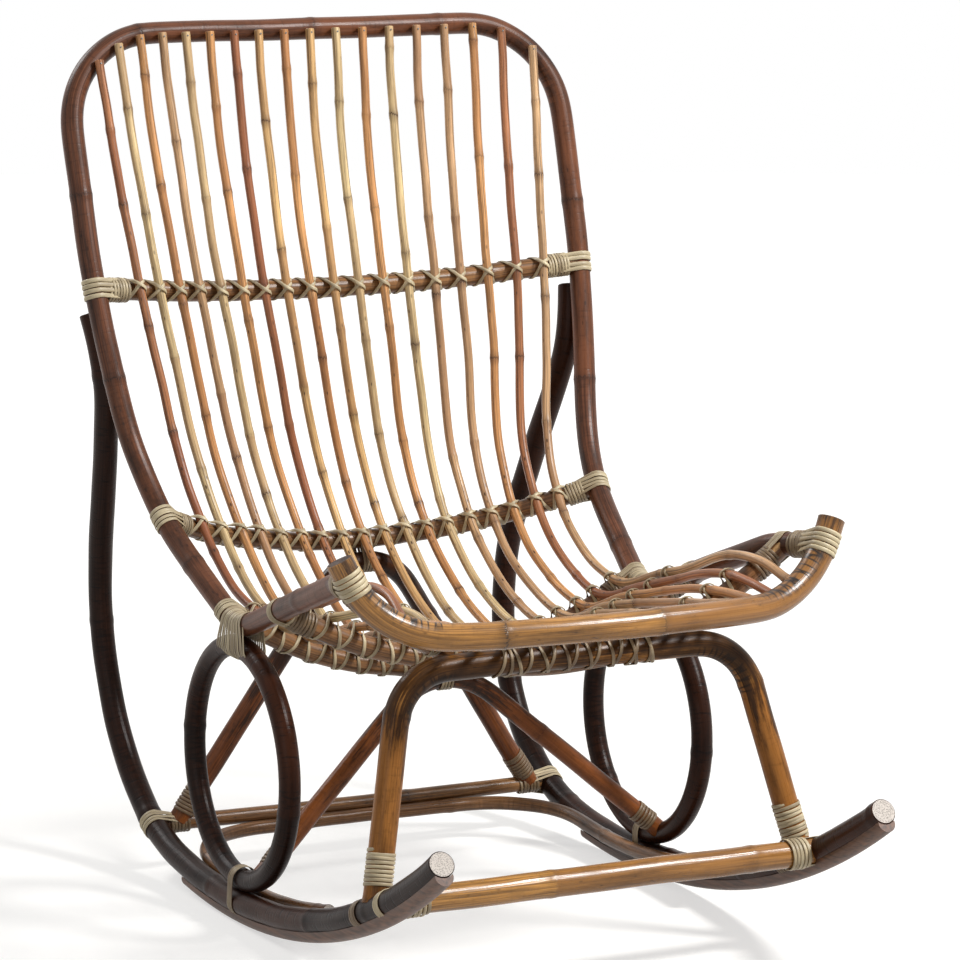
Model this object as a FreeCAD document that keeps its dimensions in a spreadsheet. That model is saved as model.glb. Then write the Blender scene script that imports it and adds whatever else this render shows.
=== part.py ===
import FreeCAD, Part
import math
import os
from FreeCAD import Placement, Rotation, Vector

# Rattan rocking chair, in millimetres. +Z is up, the chair faces -Y, and the origin is the
# point on the floor midway between the two rockers, where they touch it.

document = FreeCAD.newDocument("rattan_rocking_chair")

# Driving dimensions: name, value, meaning. Heights are above the floor; "reach" is forward
# of the origin and "setback" is behind it; a half width is from the middle plane to an axis.

SIZES = [
    ("frame_diameter", 26.0, "pole of the back frame and side rails"),
    ("front_rail_diameter", 30.0, "pole of the front rail"),
    ("rocker_diameter", 29.0, "pole of the rockers"),
    ("ring_diameter", 25.0, "pole of the side rings"),
    ("front_arch_diameter", 29.0, "pole of the front leg arch"),
    ("mid_arch_diameter", 22.0, "pole of the arch between the rings"),
    ("rear_arch_diameter", 24.0, "pole of the arch under the back"),
    ("upper_bar_diameter", 24.0, "upper cross bar of the back"),
    ("lower_bar_diameter", 22.0, "lower cross bar of the back"),
    ("seat_bar_diameter", 24.0, "three cross bars of the seat"),
    ("rear_stretcher_diameter", 19.0, "straight stretcher between the heels"),
    ("front_stretcher_diameter", 30.0, "straight stretcher at the front legs"),
    ("floor_brace_diameter", 16.5, "bent brace inside the rockers"),
    ("slat_diameter", 10.4, "round canes of the seat and back"),
    ("strand_diameter", 2.8, "split cane of the lashings"),
    ("strand_space", 0.9, "free space between turns of a lashing"),
    ("contact_gap", 0.3, "clearance where curved faces meet"),
    ("rocker_radius", 1000.0, "curve of the rocker axis on the floor"),
    ("rocker_front_reach", 544.0, "front tip of the rocker"),
    ("heel_setback", 172.0, "where the rocker turns up into its heel"),
    ("heel_radius", 247.0, "bend at the heel of the rocker"),
    ("run_angle", 112.98, "rocker above its heel, degrees from level"),
    ("neck_share", 0.3785, "share of the rocker above its heel that bends along the back pole"),
    ("rocker_top_height", 665.0, "upper tip of the rocker"),
    ("rocker_overlap", 15.0, "straight end of the rocker along the back pole"),
    ("rocker_half_track", 262.0, "rocker axis on the floor"),
    ("skid_width", 20.0, "split cane under the rocker"),
    ("skid_thickness", 9.0, "split cane under the rocker"),
    ("skid_setback", 130.0, "rear end of the skid"),
    ("ring_radius", 134.0, "axis of the side ring"),
    ("ring_reach", 18.0, "centre of the side ring"),
    ("seat_half_width", 259.0, "frame axis at the seat corner"),
    ("front_half_width", 268.0, "frame axis at the front tips"),
    ("back_half_width", 321.0, "frame axis where the back is widest"),
    ("widest_height", 815.0, "height where the back is widest"),
    ("top_rail_height", 985.0, "axis of the top rail"),
    ("top_rail_setback", 355.0, "axis of the top rail"),
    ("top_corner_radius", 114.0, "upper corners of the back frame"),
    ("corner_bend_radius", 70.0, "bend of the frame at the seat corner"),
    ("rail_rise_angle", 19.3, "slope of the side rails, degrees"),
    ("back_rise_angle", 31.5, "slope of the frame behind the seat corner, degrees"),
    ("back_lean_angle", 17.3, "lean of the back from upright, degrees"),
    ("back_bend_radius", 260.0, "bend between seat and back"),
    ("rail_reach", 372.0, "front tips of the side rails"),
    ("front_rail_height", 392.0, "lowest axis height of the front rail"),
    ("front_rail_end_height", 474.0, "tips of the front rail"),
    ("front_rail_flat", 191.0, "half of the level stretch of the front rail"),
    ("front_rail_corner_radius", 110.0, "upturned ends of the front rail"),
    ("front_rail_reach", 432.0, "middle of the front rail"),
    ("front_rail_end_reach", 372.0, "tips of the front rail"),
    ("upper_bar_height", 697.0, "where the upper bar meets the frame"),
    ("upper_bar_bow", 30.0, "bow of the upper bar"),
    ("upper_bar_bow_angle", 35.0, "bow of the upper bar below level, degrees"),
    ("lower_bar_height", 439.0, "where the lower bar meets the frame"),
    ("lower_bar_bow", 90.0, "bow of the lower bar"),
    ("lower_bar_bow_angle", 37.0, "bow of the lower bar below level, degrees"),
    ("rear_bar_setback", 18.0, "rear seat bar"),
    ("rear_bar_bow", 86.0, "sag of the rear seat bar"),
    ("mid_bar_reach", 130.0, "middle seat bar"),
    ("mid_bar_bow", 76.0, "sag of the middle seat bar"),
    ("front_bar_reach", 325.0, "front seat bar"),
    ("front_bar_bow", 129.0, "sag of the front seat bar"),
    ("front_bar_bow_angle", 73.4, "bow of the front seat bar below level, degrees"),
    ("slat_count", 18, "canes of the seat and back"),
    ("slat_top_half_width", 285.0, "outer slats at the top rail"),
    ("slat_upper_half_width", 267.0, "outer slats at the upper bar"),
    ("slat_lower_half_width", 241.0, "outer slats at the lower bar"),
    ("slat_seat_half_width", 238.0, "outer slats on the seat bars"),
    ("slat_tip_half_width", 238.0, "outer slats at the front rail"),
    ("slat_crowding", 27.0, "how far the middle slats stand to the left at the top"),
    ("slat_top_drop", 4.0, "slat tops stop below the axis of the top rail"),
    ("slat_tip_lift", 9.0, "slat tips meet the front rail above its axis"),
    ("front_arch_reach", 377.0, "feet of the front arch"),
    ("front_arch_top_reach", 326.0, "top of the front arch"),
    ("front_arch_top_height", 341.0, "axis of the top of the front arch"),
    ("front_arch_half_width", 207.0, "top corners of the front arch"),
    ("front_arch_corner_radius", 66.0, "top corners of the front arch"),
    ("mid_arch_foot_reach", 60.0, "feet of the middle arch"),
    ("mid_arch_radius", 86.0, "crown of the middle arch"),
    ("rear_arch_foot_half_width", 236.0, "feet of the rear arch"),
    ("rear_arch_radius", 65.0, "crown of the rear arch"),
    ("rear_stretcher_setback", 235.0, "rear stretcher"),
    ("front_stretcher_reach", 412.0, "front stretcher"),
    ("floor_brace_lift", 8.0, "floor brace above the rocker axis"),
    ("floor_brace_reach", 210.0, "front tips of the floor brace"),
    ("floor_brace_corner_radius", 110.0, "rear corners of the floor brace"),
    ("dowel_diameter", 6.0, "hidden dowels in the butt joints"),
    ("dowel_length", 24.0, "hidden dowels in the butt joints"),
    ("nail_diameter", 2.0, "nails of slats and skids"),
    ("nail_length", 20.0, "nails of slats and skids"),
    ("nail_proud", 0.6, "nails of the slats stand out by this"),
    ("screw_diameter", 4.0, "screws that hold rockers and rings"),
    ("screw_length", 34.0, "screws that hold rockers and rings"),
    ("hole_gap", 0.1, "hole radius over pin radius"),
    ("skid_nail_count", 7, "nails in each skid"),
]

sheet = document.addObject("Spreadsheet::Sheet", "Sizes")
for row, (alias, value, meaning) in enumerate(SIZES, start=1):
    sheet.set("A%d" % row, alias)
    sheet.set("B%d" % row, str(value))
    sheet.set("C%d" % row, meaning)
    sheet.setAlias("B%d" % row, alias)
document.recompute()


def size(alias):
    """The value of a driving dimension, read from the sheet."""
    return float(sheet.get(alias))


def radius(alias):
    """Half of a diameter in the sheet."""
    return size(alias) / 2


GAP = size("contact_gap")
ACROSS = Vector(1, 0, 0)
SIDES = (("left", -1), ("right", 1))
# Degrees by which the seam of a round pin is turned away from the seams of the canes
SEAM_TURN = 25.0
nodes = []

# Curves: every axis is a chain of lines and tangent arcs


def unit(vector):
    """A copy of the vector with length 1."""
    copy = Vector(vector)
    copy.normalize()
    return copy


def mirrored(point, side):
    """The point on the right half, or its mirror image on the left."""
    return Vector(side * point.x, point.y, point.z)


def corner_arc(start, corner, end):
    """The arc from start to end whose end tangents meet at the corner."""
    to_start = unit(start - corner)
    to_end = unit(end - corner)
    if to_start.cross(to_end).Length < 1e-5:
        return Part.LineSegment(start, end).toShape()
    inward = unit(to_start + to_end)
    reach = (start - corner).Length
    half = math.acos(max(-1.0, min(1.0, to_start.dot(inward))))
    middle = corner + inward * (reach / math.cos(half) - reach * math.tan(half))
    return Part.Arc(start, middle, end).toShape()


def biarc(start, start_way, end, end_way):
    """Two tangent arcs from one point and direction to another."""
    chord = end - start
    bend = 2 * (1 - start_way.dot(end_way))
    along = chord.dot(start_way + end_way)
    if bend < 1e-9:
        reach = chord.dot(chord) / (2 * along)
    else:
        reach = (math.sqrt(along * along + bend * chord.dot(chord)) - along) / bend
    first_corner = start + start_way * reach
    second_corner = end - end_way * reach
    middle = (first_corner + second_corner) * 0.5
    return [corner_arc(start, first_corner, middle), corner_arc(middle, second_corner, end)]


def chain(stations):
    """A wire of biarcs through (point, direction) stations."""
    edges = []
    for (start, start_way), (end, end_way) in zip(stations, stations[1:]):
        edges += biarc(start, start_way, end, end_way)
    return Part.Wire(edges)


def curve(points):
    """A wire of biarcs through points, with directions that split each corner evenly."""
    chords = [unit(b - a) for a, b in zip(points, points[1:])]
    ways = [unit(a + b) for a, b in zip(chords, chords[1:])]
    first = chords[0] * (2 * chords[0].dot(ways[0])) - ways[0]
    last = chords[-1] * (2 * chords[-1].dot(ways[-1])) - ways[-1]
    return chain(list(zip(points, [unit(first)] + ways + [unit(last)])))


def sampled(function, parameters, step=1e-4):
    """Stations on a smooth function of one parameter."""
    return [(function(at), unit(function(at + step) - function(at - step))) for at in parameters]


def rounded(points, bend_radius):
    """A wire of straight runs with every inner corner rounded to one radius."""
    edges = []
    start = points[0]
    for before, corner, after in zip(points, points[1:], points[2:]):
        back = unit(before - corner)
        ahead = unit(after - corner)
        half = math.acos(back.dot(ahead)) / 2
        reach = bend_radius / math.tan(half)
        edges.append(Part.LineSegment(start, corner + back * reach).toShape())
        edges.append(corner_arc(corner + back * reach, corner, corner + ahead * reach))
        start = corner + ahead * reach
    edges.append(Part.LineSegment(start, points[-1]).toShape())
    return Part.Wire(edges)


def dense(wire, per_edge):
    """Points along a wire, a few on each edge."""
    points = []
    for edge in wire.OrderedEdges:
        points += edge.discretize(per_edge)[:-1]
    return points


# Document objects


def sweep(label, wire, section):
    """A solid along a wire from a section that stands at its start."""
    axis = document.addObject("Part::Feature", label + "_axis")
    axis.Shape = wire
    solid = document.addObject("Part::Sweep", label)
    solid.Sections = [section]
    solid.Spine = (axis, [])
    solid.Solid = True
    solid.Frenet = False
    return solid


def round_section(label, wire, expression):
    """A circle at the start of a wire, with its radius bound to the sheet."""
    edge = wire.OrderedEdges[0]
    start = wire.OrderedVertexes[0].Point
    way = edge.tangentAt(edge.FirstParameter)
    if edge.valueAt(edge.FirstParameter).distanceToPoint(start) > 1e-6:
        way = edge.tangentAt(edge.LastParameter) * -1
    section = document.addObject("Part::Circle", label + "_section")
    section.setExpression("Radius", expression)
    section.Placement = Placement(start, Rotation(Vector(0, 0, 1), way))
    return section


def pole(label, wire, diameter, extra=""):
    """A round cane along a wire. extra is added to its radius."""
    section = round_section(label, wire, "Sizes.%s / 2%s" % (diameter, extra))
    return sweep(label, wire, section)


def pin(label, centre, way, diameter, length, extra=""):
    """A cylinder centred on a point. extra is added to its radius."""
    cylinder = document.addObject("Part::Cylinder", label)
    cylinder.setExpression("Radius", "Sizes.%s / 2%s" % (diameter, extra))
    cylinder.setExpression("Height", "Sizes.%s" % length)
    turn = Rotation(Vector(0, 0, 1), way).multiply(Rotation(Vector(0, 0, 1), SEAM_TURN))
    cylinder.Placement = Placement(centre - unit(way) * (size(length) / 2), turn)
    return cylinder


def group(label, members):
    """Several solids as one object."""
    compound = document.addObject("Part::Compound", label)
    compound.Links = members
    return compound


def cut(label, base, tools):
    """A piece with the tools taken out of it."""
    result = document.addObject("Part::Cut", label + "_cut")
    result.Base = base
    result.Tool = tools[0] if len(tools) == 1 else group(label + "_tools", tools)
    return result


holes = {}


def fasten(label, members, diameter, length):
    """A group of like pins, with a hole for each in every piece that it joins."""
    pins = []
    for index, (centre, way, pieces) in enumerate(members):
        name = "%s_%02d" % (label, index + 1)
        pins.append(pin(name, centre, way, diameter, length))
        hole = pin(name + "_hole", centre, way, diameter, length, " + Sizes.hole_gap")
        for piece in pieces:
            holes.setdefault(piece, []).append(hole)
    nodes.append((label, group(label, pins)))


# The rocker in side view: floor curve, heel, straight run, neck, and a straight end that
# lies along the back pole. It leans outwards more and more with height.

rocker_lift = radius("rocker_diameter") + size("skid_thickness")
lean = math.radians(size("back_lean_angle"))
back_way = (math.sin(lean), math.cos(lean))
seat_corner_height = (rocker_lift + radius("rocker_diameter") + GAP + size("ring_diameter")
                      + 2 * size("ring_radius") + GAP + radius("frame_diameter"))


def back_half_width(height):
    """Half width of the back frame at a height."""
    rise = size("widest_height") - seat_corner_height
    below = max(0.0, size("widest_height") - height) / rise
    return size("back_half_width") - (size("back_half_width") - size("seat_half_width")) * below ** 2


def back_setback(height):
    """Setback of the straight part of the back at a height."""
    return size("top_rail_setback") + (height - size("top_rail_height")) * math.tan(lean)


track_growth = back_half_width(size("rocker_top_height")) - size("rocker_half_track")


def rocker_point(setback, height):
    """A point of the right rocker from its place in side view."""
    share = (height - rocker_lift) / (size("rocker_top_height") - rocker_lift)
    return Vector(size("rocker_half_track") + track_growth * share ** 2, setback, height)


def floor_curve(setback):
    """The rocker axis on its floor curve."""
    drop = math.sqrt(size("rocker_radius") ** 2 - setback ** 2)
    return rocker_point(setback, rocker_lift + size("rocker_radius") - drop)


heel_angle = math.asin(size("heel_setback") / size("rocker_radius"))
heel_start = floor_curve(size("heel_setback"))
heel_centre = (heel_start.y - size("heel_radius") * math.sin(heel_angle),
               heel_start.z + size("heel_radius") * math.cos(heel_angle))
pole_spacing = radius("frame_diameter") + radius("rocker_diameter") + GAP
tip_setback = back_setback(size("rocker_top_height")) + pole_spacing / math.cos(lean)
neck_end = (tip_setback - size("rocker_overlap") * back_way[0],
            size("rocker_top_height") - size("rocker_overlap") * back_way[1])
run_angle = math.radians(size("run_angle"))


def heel_curve(angle):
    """The rocker axis round its heel, at a direction angle from level."""
    return rocker_point(heel_centre[0] + size("heel_radius") * math.sin(angle),
                        heel_centre[1] - size("heel_radius") * math.cos(angle))


heel_end = heel_curve(run_angle)


def run_curve(length):
    """The rocker axis on its straight run, by length above the heel."""
    return rocker_point(heel_end.y + length * math.cos(run_angle),
                        heel_end.z + length * math.sin(run_angle))


def end_curve(length):
    """The rocker axis on its straight end, by length from the end of the neck."""
    return rocker_point(neck_end[0] + length * back_way[0], neck_end[1] + length * back_way[1])


run_length = (neck_end[1] - heel_end.z) * (1 - size("neck_share")) / math.sin(run_angle)


def spread(first, last, count):
    """Evenly spaced values from first to last."""
    return [first + (last - first) * step / (count - 1) for step in range(count)]


front_tip = -size("rocker_front_reach")
floor_stations = sampled(floor_curve, spread(front_tip, size("heel_setback"), 6))
heel_stations = sampled(heel_curve, spread(heel_angle, run_angle, 6))
end_stations = sampled(end_curve, [0.0, size("rocker_overlap")])
rocker_stations = (floor_stations + heel_stations[1:] + sampled(run_curve, [run_length])
                   + end_stations)


def rocker_heel_at(setback):
    """The rocker axis at a setback, on the floor curve or the heel."""
    if setback < size("heel_setback"):
        return floor_curve(setback)
    return heel_curve(math.asin((setback - heel_centre[0]) / size("heel_radius")))


def mirror_stations(stations, side):
    """Stations of the right piece, or of its mirror image on the left."""
    return [(mirrored(point, side), mirrored(way, side)) for point, way in stations]


# The back frame in side view: side rail, seat corner, rise, back bend and straight back

corner_setback = -size("ring_reach")
rail_rise = math.radians(size("rail_rise_angle"))
back_rise = math.radians(size("back_rise_angle"))
bend = size("corner_bend_radius")


def corner_bend(angle):
    """The frame axis at the seat corner, at a slope angle (negative towards the front)."""
    setback = corner_setback + bend * math.sin(angle)
    return side_point(setback, seat_corner_height + bend * (1 - math.cos(angle)))


def side_point(setback, height):
    """A point of the right side of the back frame from its place in side view."""
    if setback < corner_setback:
        share = (corner_setback - setback) / (corner_setback + size("rail_reach"))
        growth = (size("front_half_width") - size("seat_half_width")) * share ** 2
        return Vector(size("seat_half_width") + growth, setback, height)
    return Vector(back_half_width(height), setback, height)


def rail_point(setback):
    """The axis of the straight side rail at a setback."""
    start = corner_bend(-rail_rise)
    return side_point(setback, start.z + (start.y - setback) * math.tan(rail_rise))


rise_start = corner_bend(back_rise)


def rise_point(setback):
    """The axis of the frame between the seat corner and the back bend."""
    return side_point(setback, rise_start.z + (setback - rise_start.y) * math.tan(back_rise))


def straight_back(height):
    """The axis of the straight part of the back at a height."""
    return side_point(back_setback(height), height)


bend_turn = math.pi / 2 - lean - back_rise
knee_height = ((rise_start.z + (back_setback(0) - rise_start.y) * math.tan(back_rise))
               / (1 - math.tan(lean) * math.tan(back_rise)))
knee_setback = back_setback(knee_height)
knee_reach = size("back_bend_radius") * math.tan(bend_turn / 2)
knee_start = (knee_setback - knee_reach * math.cos(back_rise),
              knee_height - knee_reach * math.sin(back_rise))
knee_centre = (knee_start[0] - size("back_bend_radius") * math.sin(back_rise),
               knee_start[1] + size("back_bend_radius") * math.cos(back_rise))


def back_bend(angle):
    """The frame axis round the back bend, at a slope angle."""
    return side_point(knee_centre[0] + size("back_bend_radius") * math.sin(angle),
                      knee_centre[1] - size("back_bend_radius") * math.cos(angle))


def back_axis(height):
    """The frame axis behind the seat at a height."""
    bend_top = back_bend(math.pi / 2 - lean)
    if height > bend_top.z:
        return straight_back(height)
    if height < knee_start[1]:
        return rise_point(rise_start.y + (height - rise_start.z) / math.tan(back_rise))
    return back_bend(math.acos((knee_centre[1] - height) / size("back_bend_radius")))


corner_radius = size("top_corner_radius")
corner_height = size("top_rail_height") - corner_radius * math.cos(lean)
up_back = Vector(0, math.sin(lean), math.cos(lean))
corner_centre = (straight_back(corner_height) - ACROSS * corner_radius)


def top_corner(angle):
    """The frame axis round the upper corner, 0 at the side and a right angle at the top."""
    return (corner_centre + ACROSS * (corner_radius * math.cos(angle))
            + up_back * (corner_radius * math.sin(angle)))


def top_rail_at(half_width):
    """Axis and direction of the top rail or its corner at a half width."""
    inside = abs(half_width) - corner_centre.x
    angle = math.pi / 2 if inside < 0 else math.acos(inside / corner_radius)
    point = top_corner(angle)
    way = ACROSS * math.sin(angle) - up_back * math.cos(angle)
    side = -1 if half_width < 0 else 1
    point.x = abs(half_width)
    return mirrored(point, side), Vector(way.x, side * way.y, side * way.z)


def frame_side():
    """Stations of the right side, from the front tip to the top rail."""
    stations = sampled(rail_point, spread(-size("rail_reach"), corner_bend(-rail_rise).y, 3))
    stations += sampled(corner_bend, spread(-rail_rise, back_rise, 4))[1:]
    stations += sampled(back_bend, spread(back_rise, math.pi / 2 - lean, 4))
    stations += sampled(straight_back, spread(back_bend(math.pi / 2 - lean).z, corner_height, 4))[1:]
    stations += sampled(top_corner, spread(0, math.pi / 2, 3))[1:]
    return stations


right_side = frame_side()
left_side = [(mirrored(point, -1), mirrored(way, -1) * -1) for point, way in reversed(right_side)]
frame_wire = chain(right_side + left_side)

# The front rail: level in the middle, bowed forward, with upturned ends

rail_turn = math.acos(1 - (size("front_rail_end_height") - size("front_rail_height"))
                      / size("front_rail_corner_radius"))
rail_half = size("front_rail_flat") + size("front_rail_corner_radius") * math.sin(rail_turn)


def front_rail_point(half_width):
    """The front rail axis at a half width, up to its tips."""
    inside = max(0.0, abs(half_width) - size("front_rail_flat")) / size("front_rail_corner_radius")
    lift = size("front_rail_corner_radius") * (1 - math.sqrt(max(0.0, 1 - inside ** 2)))
    bow = (size("front_rail_reach") - size("front_rail_end_reach")) * (half_width / rail_half) ** 2
    return Vector(half_width, -size("front_rail_reach") + bow, size("front_rail_height") + lift)


def rail_end_curve(angle):
    """The front rail axis on its right upturned end, by slope angle."""
    return front_rail_point(size("front_rail_flat")
                            + size("front_rail_corner_radius") * math.sin(angle))


rail_right = sampled(front_rail_point, [0.0, size("front_rail_flat") / 2])
rail_right += sampled(rail_end_curve, spread(0.0, rail_turn, 4))
rail_left = [(mirrored(point, -1), mirrored(way, -1) * -1) for point, way in reversed(rail_right)]
front_rail_wire = chain(rail_left[:-1] + rail_right)


# Cross bars: circular arcs between the two sides of the frame


class Bar:
    """A bowed bar between two frame axis points. Its ends stop short of the frame pole."""

    def __init__(self, label, diameter, end, bow, bow_angle):
        self.label = label
        self.diameter = diameter
        self.end = end
        self.thick = radius(diameter)
        self.out = Vector(0, math.cos(bow_angle), math.sin(bow_angle))
        self.curve = (end.x ** 2 + bow ** 2) / (2 * bow)
        self.centre = Vector(0, end.y, end.z) + self.out * (bow - self.curve)
        self.span = math.asin(end.x / self.curve)
        self.trim = (radius("frame_diameter") + GAP) / self.curve
        self.middle = self.at(0)

    def at(self, angle):
        """Axis point at an angle from the middle."""
        return (self.centre + self.out * (self.curve * math.cos(angle))
                + ACROSS * (self.curve * math.sin(angle)))

    def way(self, angle):
        """Direction of the axis at an angle from the middle."""
        return ACROSS * math.cos(angle) - self.out * math.sin(angle)

    def angle_at(self, half_width):
        """Angle from the middle at a half width."""
        return math.asin(half_width / self.curve)

    def inset(self, length):
        """Angle of the axis point at a length inside the right end."""
        return self.span - self.trim - length / self.curve

    def wire(self):
        """The axis from the left end to the right end."""
        reach = self.span - self.trim
        return Part.Wire(Part.Arc(self.at(-reach), self.at(0), self.at(reach)).toShape())


class ArchTop:
    """The level top of the front arch, which carries the middle slats."""

    def __init__(self):
        self.thick = radius("front_arch_diameter")
        self.middle = Vector(0, -size("front_arch_top_reach"), size("front_arch_top_height"))

    def at(self, half_width):
        """Axis point at a half width."""
        return self.middle + ACROSS * half_width

    def way(self, half_width):
        """Direction of the axis, the same all along."""
        return ACROSS

    def angle_at(self, half_width):
        """The place of a half width on the axis, which is the half width itself."""
        return half_width


UPRIGHT_SAG = -math.pi / 2
bars = {
    "upper": Bar("upper_back_bar", "upper_bar_diameter", back_axis(size("upper_bar_height")),
                 size("upper_bar_bow"), -math.radians(size("upper_bar_bow_angle"))),
    "lower": Bar("lower_back_bar", "lower_bar_diameter", back_axis(size("lower_bar_height")),
                 size("lower_bar_bow"), -math.radians(size("lower_bar_bow_angle"))),
    "rear": Bar("rear_seat_bar", "seat_bar_diameter", rise_point(size("rear_bar_setback")),
                size("rear_bar_bow"), UPRIGHT_SAG),
    "mid": Bar("mid_seat_bar", "seat_bar_diameter", rail_point(-size("mid_bar_reach")),
               size("mid_bar_bow"), UPRIGHT_SAG),
    "front": Bar("front_seat_bar", "seat_bar_diameter", rail_point(-size("front_bar_reach")),
                 size("front_bar_bow"), -math.radians(size("front_bar_bow_angle"))),
    "arch": ArchTop(),
}

# Slats: each rests on the five bars, lies on the top rail and butts against the front rail

slat_count = int(size("slat_count"))
slat_radius = radius("slat_diameter")
tip_reach = radius("front_rail_diameter")
BAR_ORDER = ("upper", "lower", "rear", "mid", "front")
BACK_ORDER = BAR_ORDER[:4]
FRONT_CHOICES = (("front",), ("arch",), ("front", "arch"))
HALF_WIDTHS = {"top": "slat_top_half_width", "upper": "slat_upper_half_width",
               "lower": "slat_lower_half_width", "rear": "slat_seat_half_width",
               "mid": "slat_seat_half_width", "front": "slat_seat_half_width",
               "arch": "slat_seat_half_width", "tip": "slat_tip_half_width"}
# Share of the crowding at each place; below the back the slats crowd to the other side
CROWDING = {"top": 1.0, "upper": 0.9, "lower": -0.4, "rear": -0.8, "mid": -0.8, "front": -0.8,
            "arch": -0.8, "tip": 0.2}


class Slat:
    """One cane of the seat and back, from the top rail to the front rail."""

    def __init__(self, index):
        self.label = "slat_%02d" % (index + 1)
        self.share = 2 * index / (slat_count - 1) - 1
        shift = size("slat_crowding") * (self.share ** 2 - 1)
        places = {name: self.share * size(width) + shift * CROWDING[name]
                  for name, width in HALF_WIDTHS.items()}
        self.angles = {name: bars[name].angle_at(places[name]) for name in bars}
        self.top_axis, self.top_way = top_rail_at(places["top"])
        self.tip_lift = Vector(0, 0, size("slat_tip_lift"))
        self.tip_axis = front_rail_point(places["tip"]) + self.tip_lift
        for choice in FRONT_CHOICES:
            self.rests = BACK_ORDER + choice
            self.out = {name: unit(Vector(0, -1, 1)) for name in self.rests}
            self.along = {}
            self.top_out = up_back.cross(ACROSS) * -1
            for _ in range(4):
                self.settle()
            if self.clears("front") and self.clears("arch"):
                break

    def settle(self):
        """Place the axis points, then turn each rest direction square to the slat."""
        top = self.top_axis + self.top_out * (radius("frame_diameter") + slat_radius + GAP)
        rests = [bars[name].at(self.angles[name])
                 + self.out[name] * (bars[name].thick + slat_radius + GAP) for name in self.rests]
        self.tip_way = unit(rests[-1] - self.tip_axis)
        ahead = self.tip_lift.dot(self.tip_way)
        aside = math.sqrt(self.tip_lift.Length ** 2 - ahead ** 2)
        touch = math.sqrt(tip_reach ** 2 - max(0.0, aside - slat_radius) ** 2) - ahead
        tip = self.tip_axis + self.tip_way * (touch - slat_radius)
        points = [top] + rests + [tip]
        chords = [unit(b - a) for a, b in zip(points, points[1:])]
        for name, before, after in zip(self.rests, chords, chords[1:]):
            self.along[name] = unit(before + after)
            bar_way = bars[name].way(self.angles[name])
            self.out[name] = unit(bar_way.cross(self.along[name])) * -1
        self.top_out = unit(self.top_way.cross(chords[0])) * -1
        points[0] = top + chords[0] * size("slat_top_drop")
        self.down = chords[0]
        self.points = points

    def clears(self, name):
        """Whether the slat stays outside a bar."""
        axis = bars[name].at(self.angles[name])
        way = bars[name].way(self.angles[name])
        least = min((point - axis).cross(way).Length for point in dense(self.wire(), 12))
        return least > bars[name].thick + slat_radius + GAP / 2

    def wire(self):
        """The axis from the top rail to the front rail."""
        return curve(self.points)


slats = [Slat(index) for index in range(slat_count)]

# Arches, stretchers and brace


def peaked_arch(foot, crown, bend_radius, stand):
    """A straight-legged arch with a round crown. stand is the length cut off each foot."""
    up = unit(Vector(0, crown.y - foot.y, crown.z - foot.z))
    rise = math.hypot(crown.y - foot.y, crown.z - foot.z)
    apex = rise
    for _ in range(40):
        slope = math.atan2(apex, foot.x)
        apex = rise + bend_radius * (1 / math.cos(slope) - 1)
    peak = Vector(0, foot.y, foot.z) + up * apex
    right = foot + unit(peak - foot) * stand
    return rounded([mirrored(right, -1), peak, right], bend_radius)


strand_room = size("strand_diameter") + 6 * GAP


def beside(bar, diameter, angle):
    """The axis point of a crown that lies against a bar's middle, outside its lacing."""
    distance = bar.thick + radius(diameter) + strand_room
    return bar.middle + Vector(0, math.cos(angle), math.sin(angle)) * distance


rocker_stand = radius("rocker_diameter") + GAP
front_foot = floor_curve(-size("front_arch_reach"))
front_corner = bars["arch"].at(size("front_arch_half_width"))
front_leg_way = unit(front_corner - front_foot)
front_leg_end = front_foot + front_leg_way * rocker_stand
front_leg_start = front_foot + front_leg_way * (rocker_stand / 2)
front_arch_wire = rounded([mirrored(front_leg_start, -1), mirrored(front_corner, -1), front_corner,
                           front_leg_start], size("front_arch_corner_radius"))

ring_x = (size("rocker_half_track") + size("seat_half_width")) / 2
ring_centre = Vector(ring_x, -size("ring_reach"), rocker_lift + radius("rocker_diameter") + GAP
                     + radius("ring_diameter") + size("ring_radius"))


def ring_point(angle):
    """The axis of the right ring, 0 at its bottom."""
    return ring_centre + Vector(0, math.sin(angle), -math.cos(angle)) * size("ring_radius")


mid_foot = ring_point(math.asin((size("ring_reach") - size("mid_arch_foot_reach"))
                                / size("ring_radius")))
mid_crown = beside(bars["rear"], "mid_arch_diameter", math.radians(-155))
mid_arch_wire = peaked_arch(mid_foot, mid_crown, size("mid_arch_radius"),
                            radius("ring_diameter") / 2)

rear_joint = rocker_heel_at(size("rear_stretcher_setback"))
rear_foot = Vector(size("rear_arch_foot_half_width"), rear_joint.y, rear_joint.z)
rear_crown = beside(bars["lower"], "rear_arch_diameter", math.radians(-120))
rear_arch_wire = peaked_arch(rear_foot, rear_crown, size("rear_arch_radius"),
                             radius("rear_stretcher_diameter") / 2)

front_joint = floor_curve(-size("front_stretcher_reach"))


def straight(end, stand):
    """A straight axis across the chair, cut back from the two joints."""
    right = end - ACROSS * stand
    return Part.Wire(Part.LineSegment(mirrored(right, -1), right).toShape())


rear_stretcher_wire = straight(rear_joint, rocker_stand)
front_stretcher_wire = straight(front_joint, rocker_stand)

brace_spacing = radius("rocker_diameter") + radius("floor_brace_diameter") + GAP
brace_inset = math.sqrt(brace_spacing ** 2 - size("floor_brace_lift") ** 2)
brace_drop = radius("rear_stretcher_diameter") + radius("floor_brace_diameter") + GAP
brace_back = Vector(0, rear_joint.y - brace_drop * math.sin(math.pi / 4),
                    rear_joint.z - brace_drop * math.cos(math.pi / 4))


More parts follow.
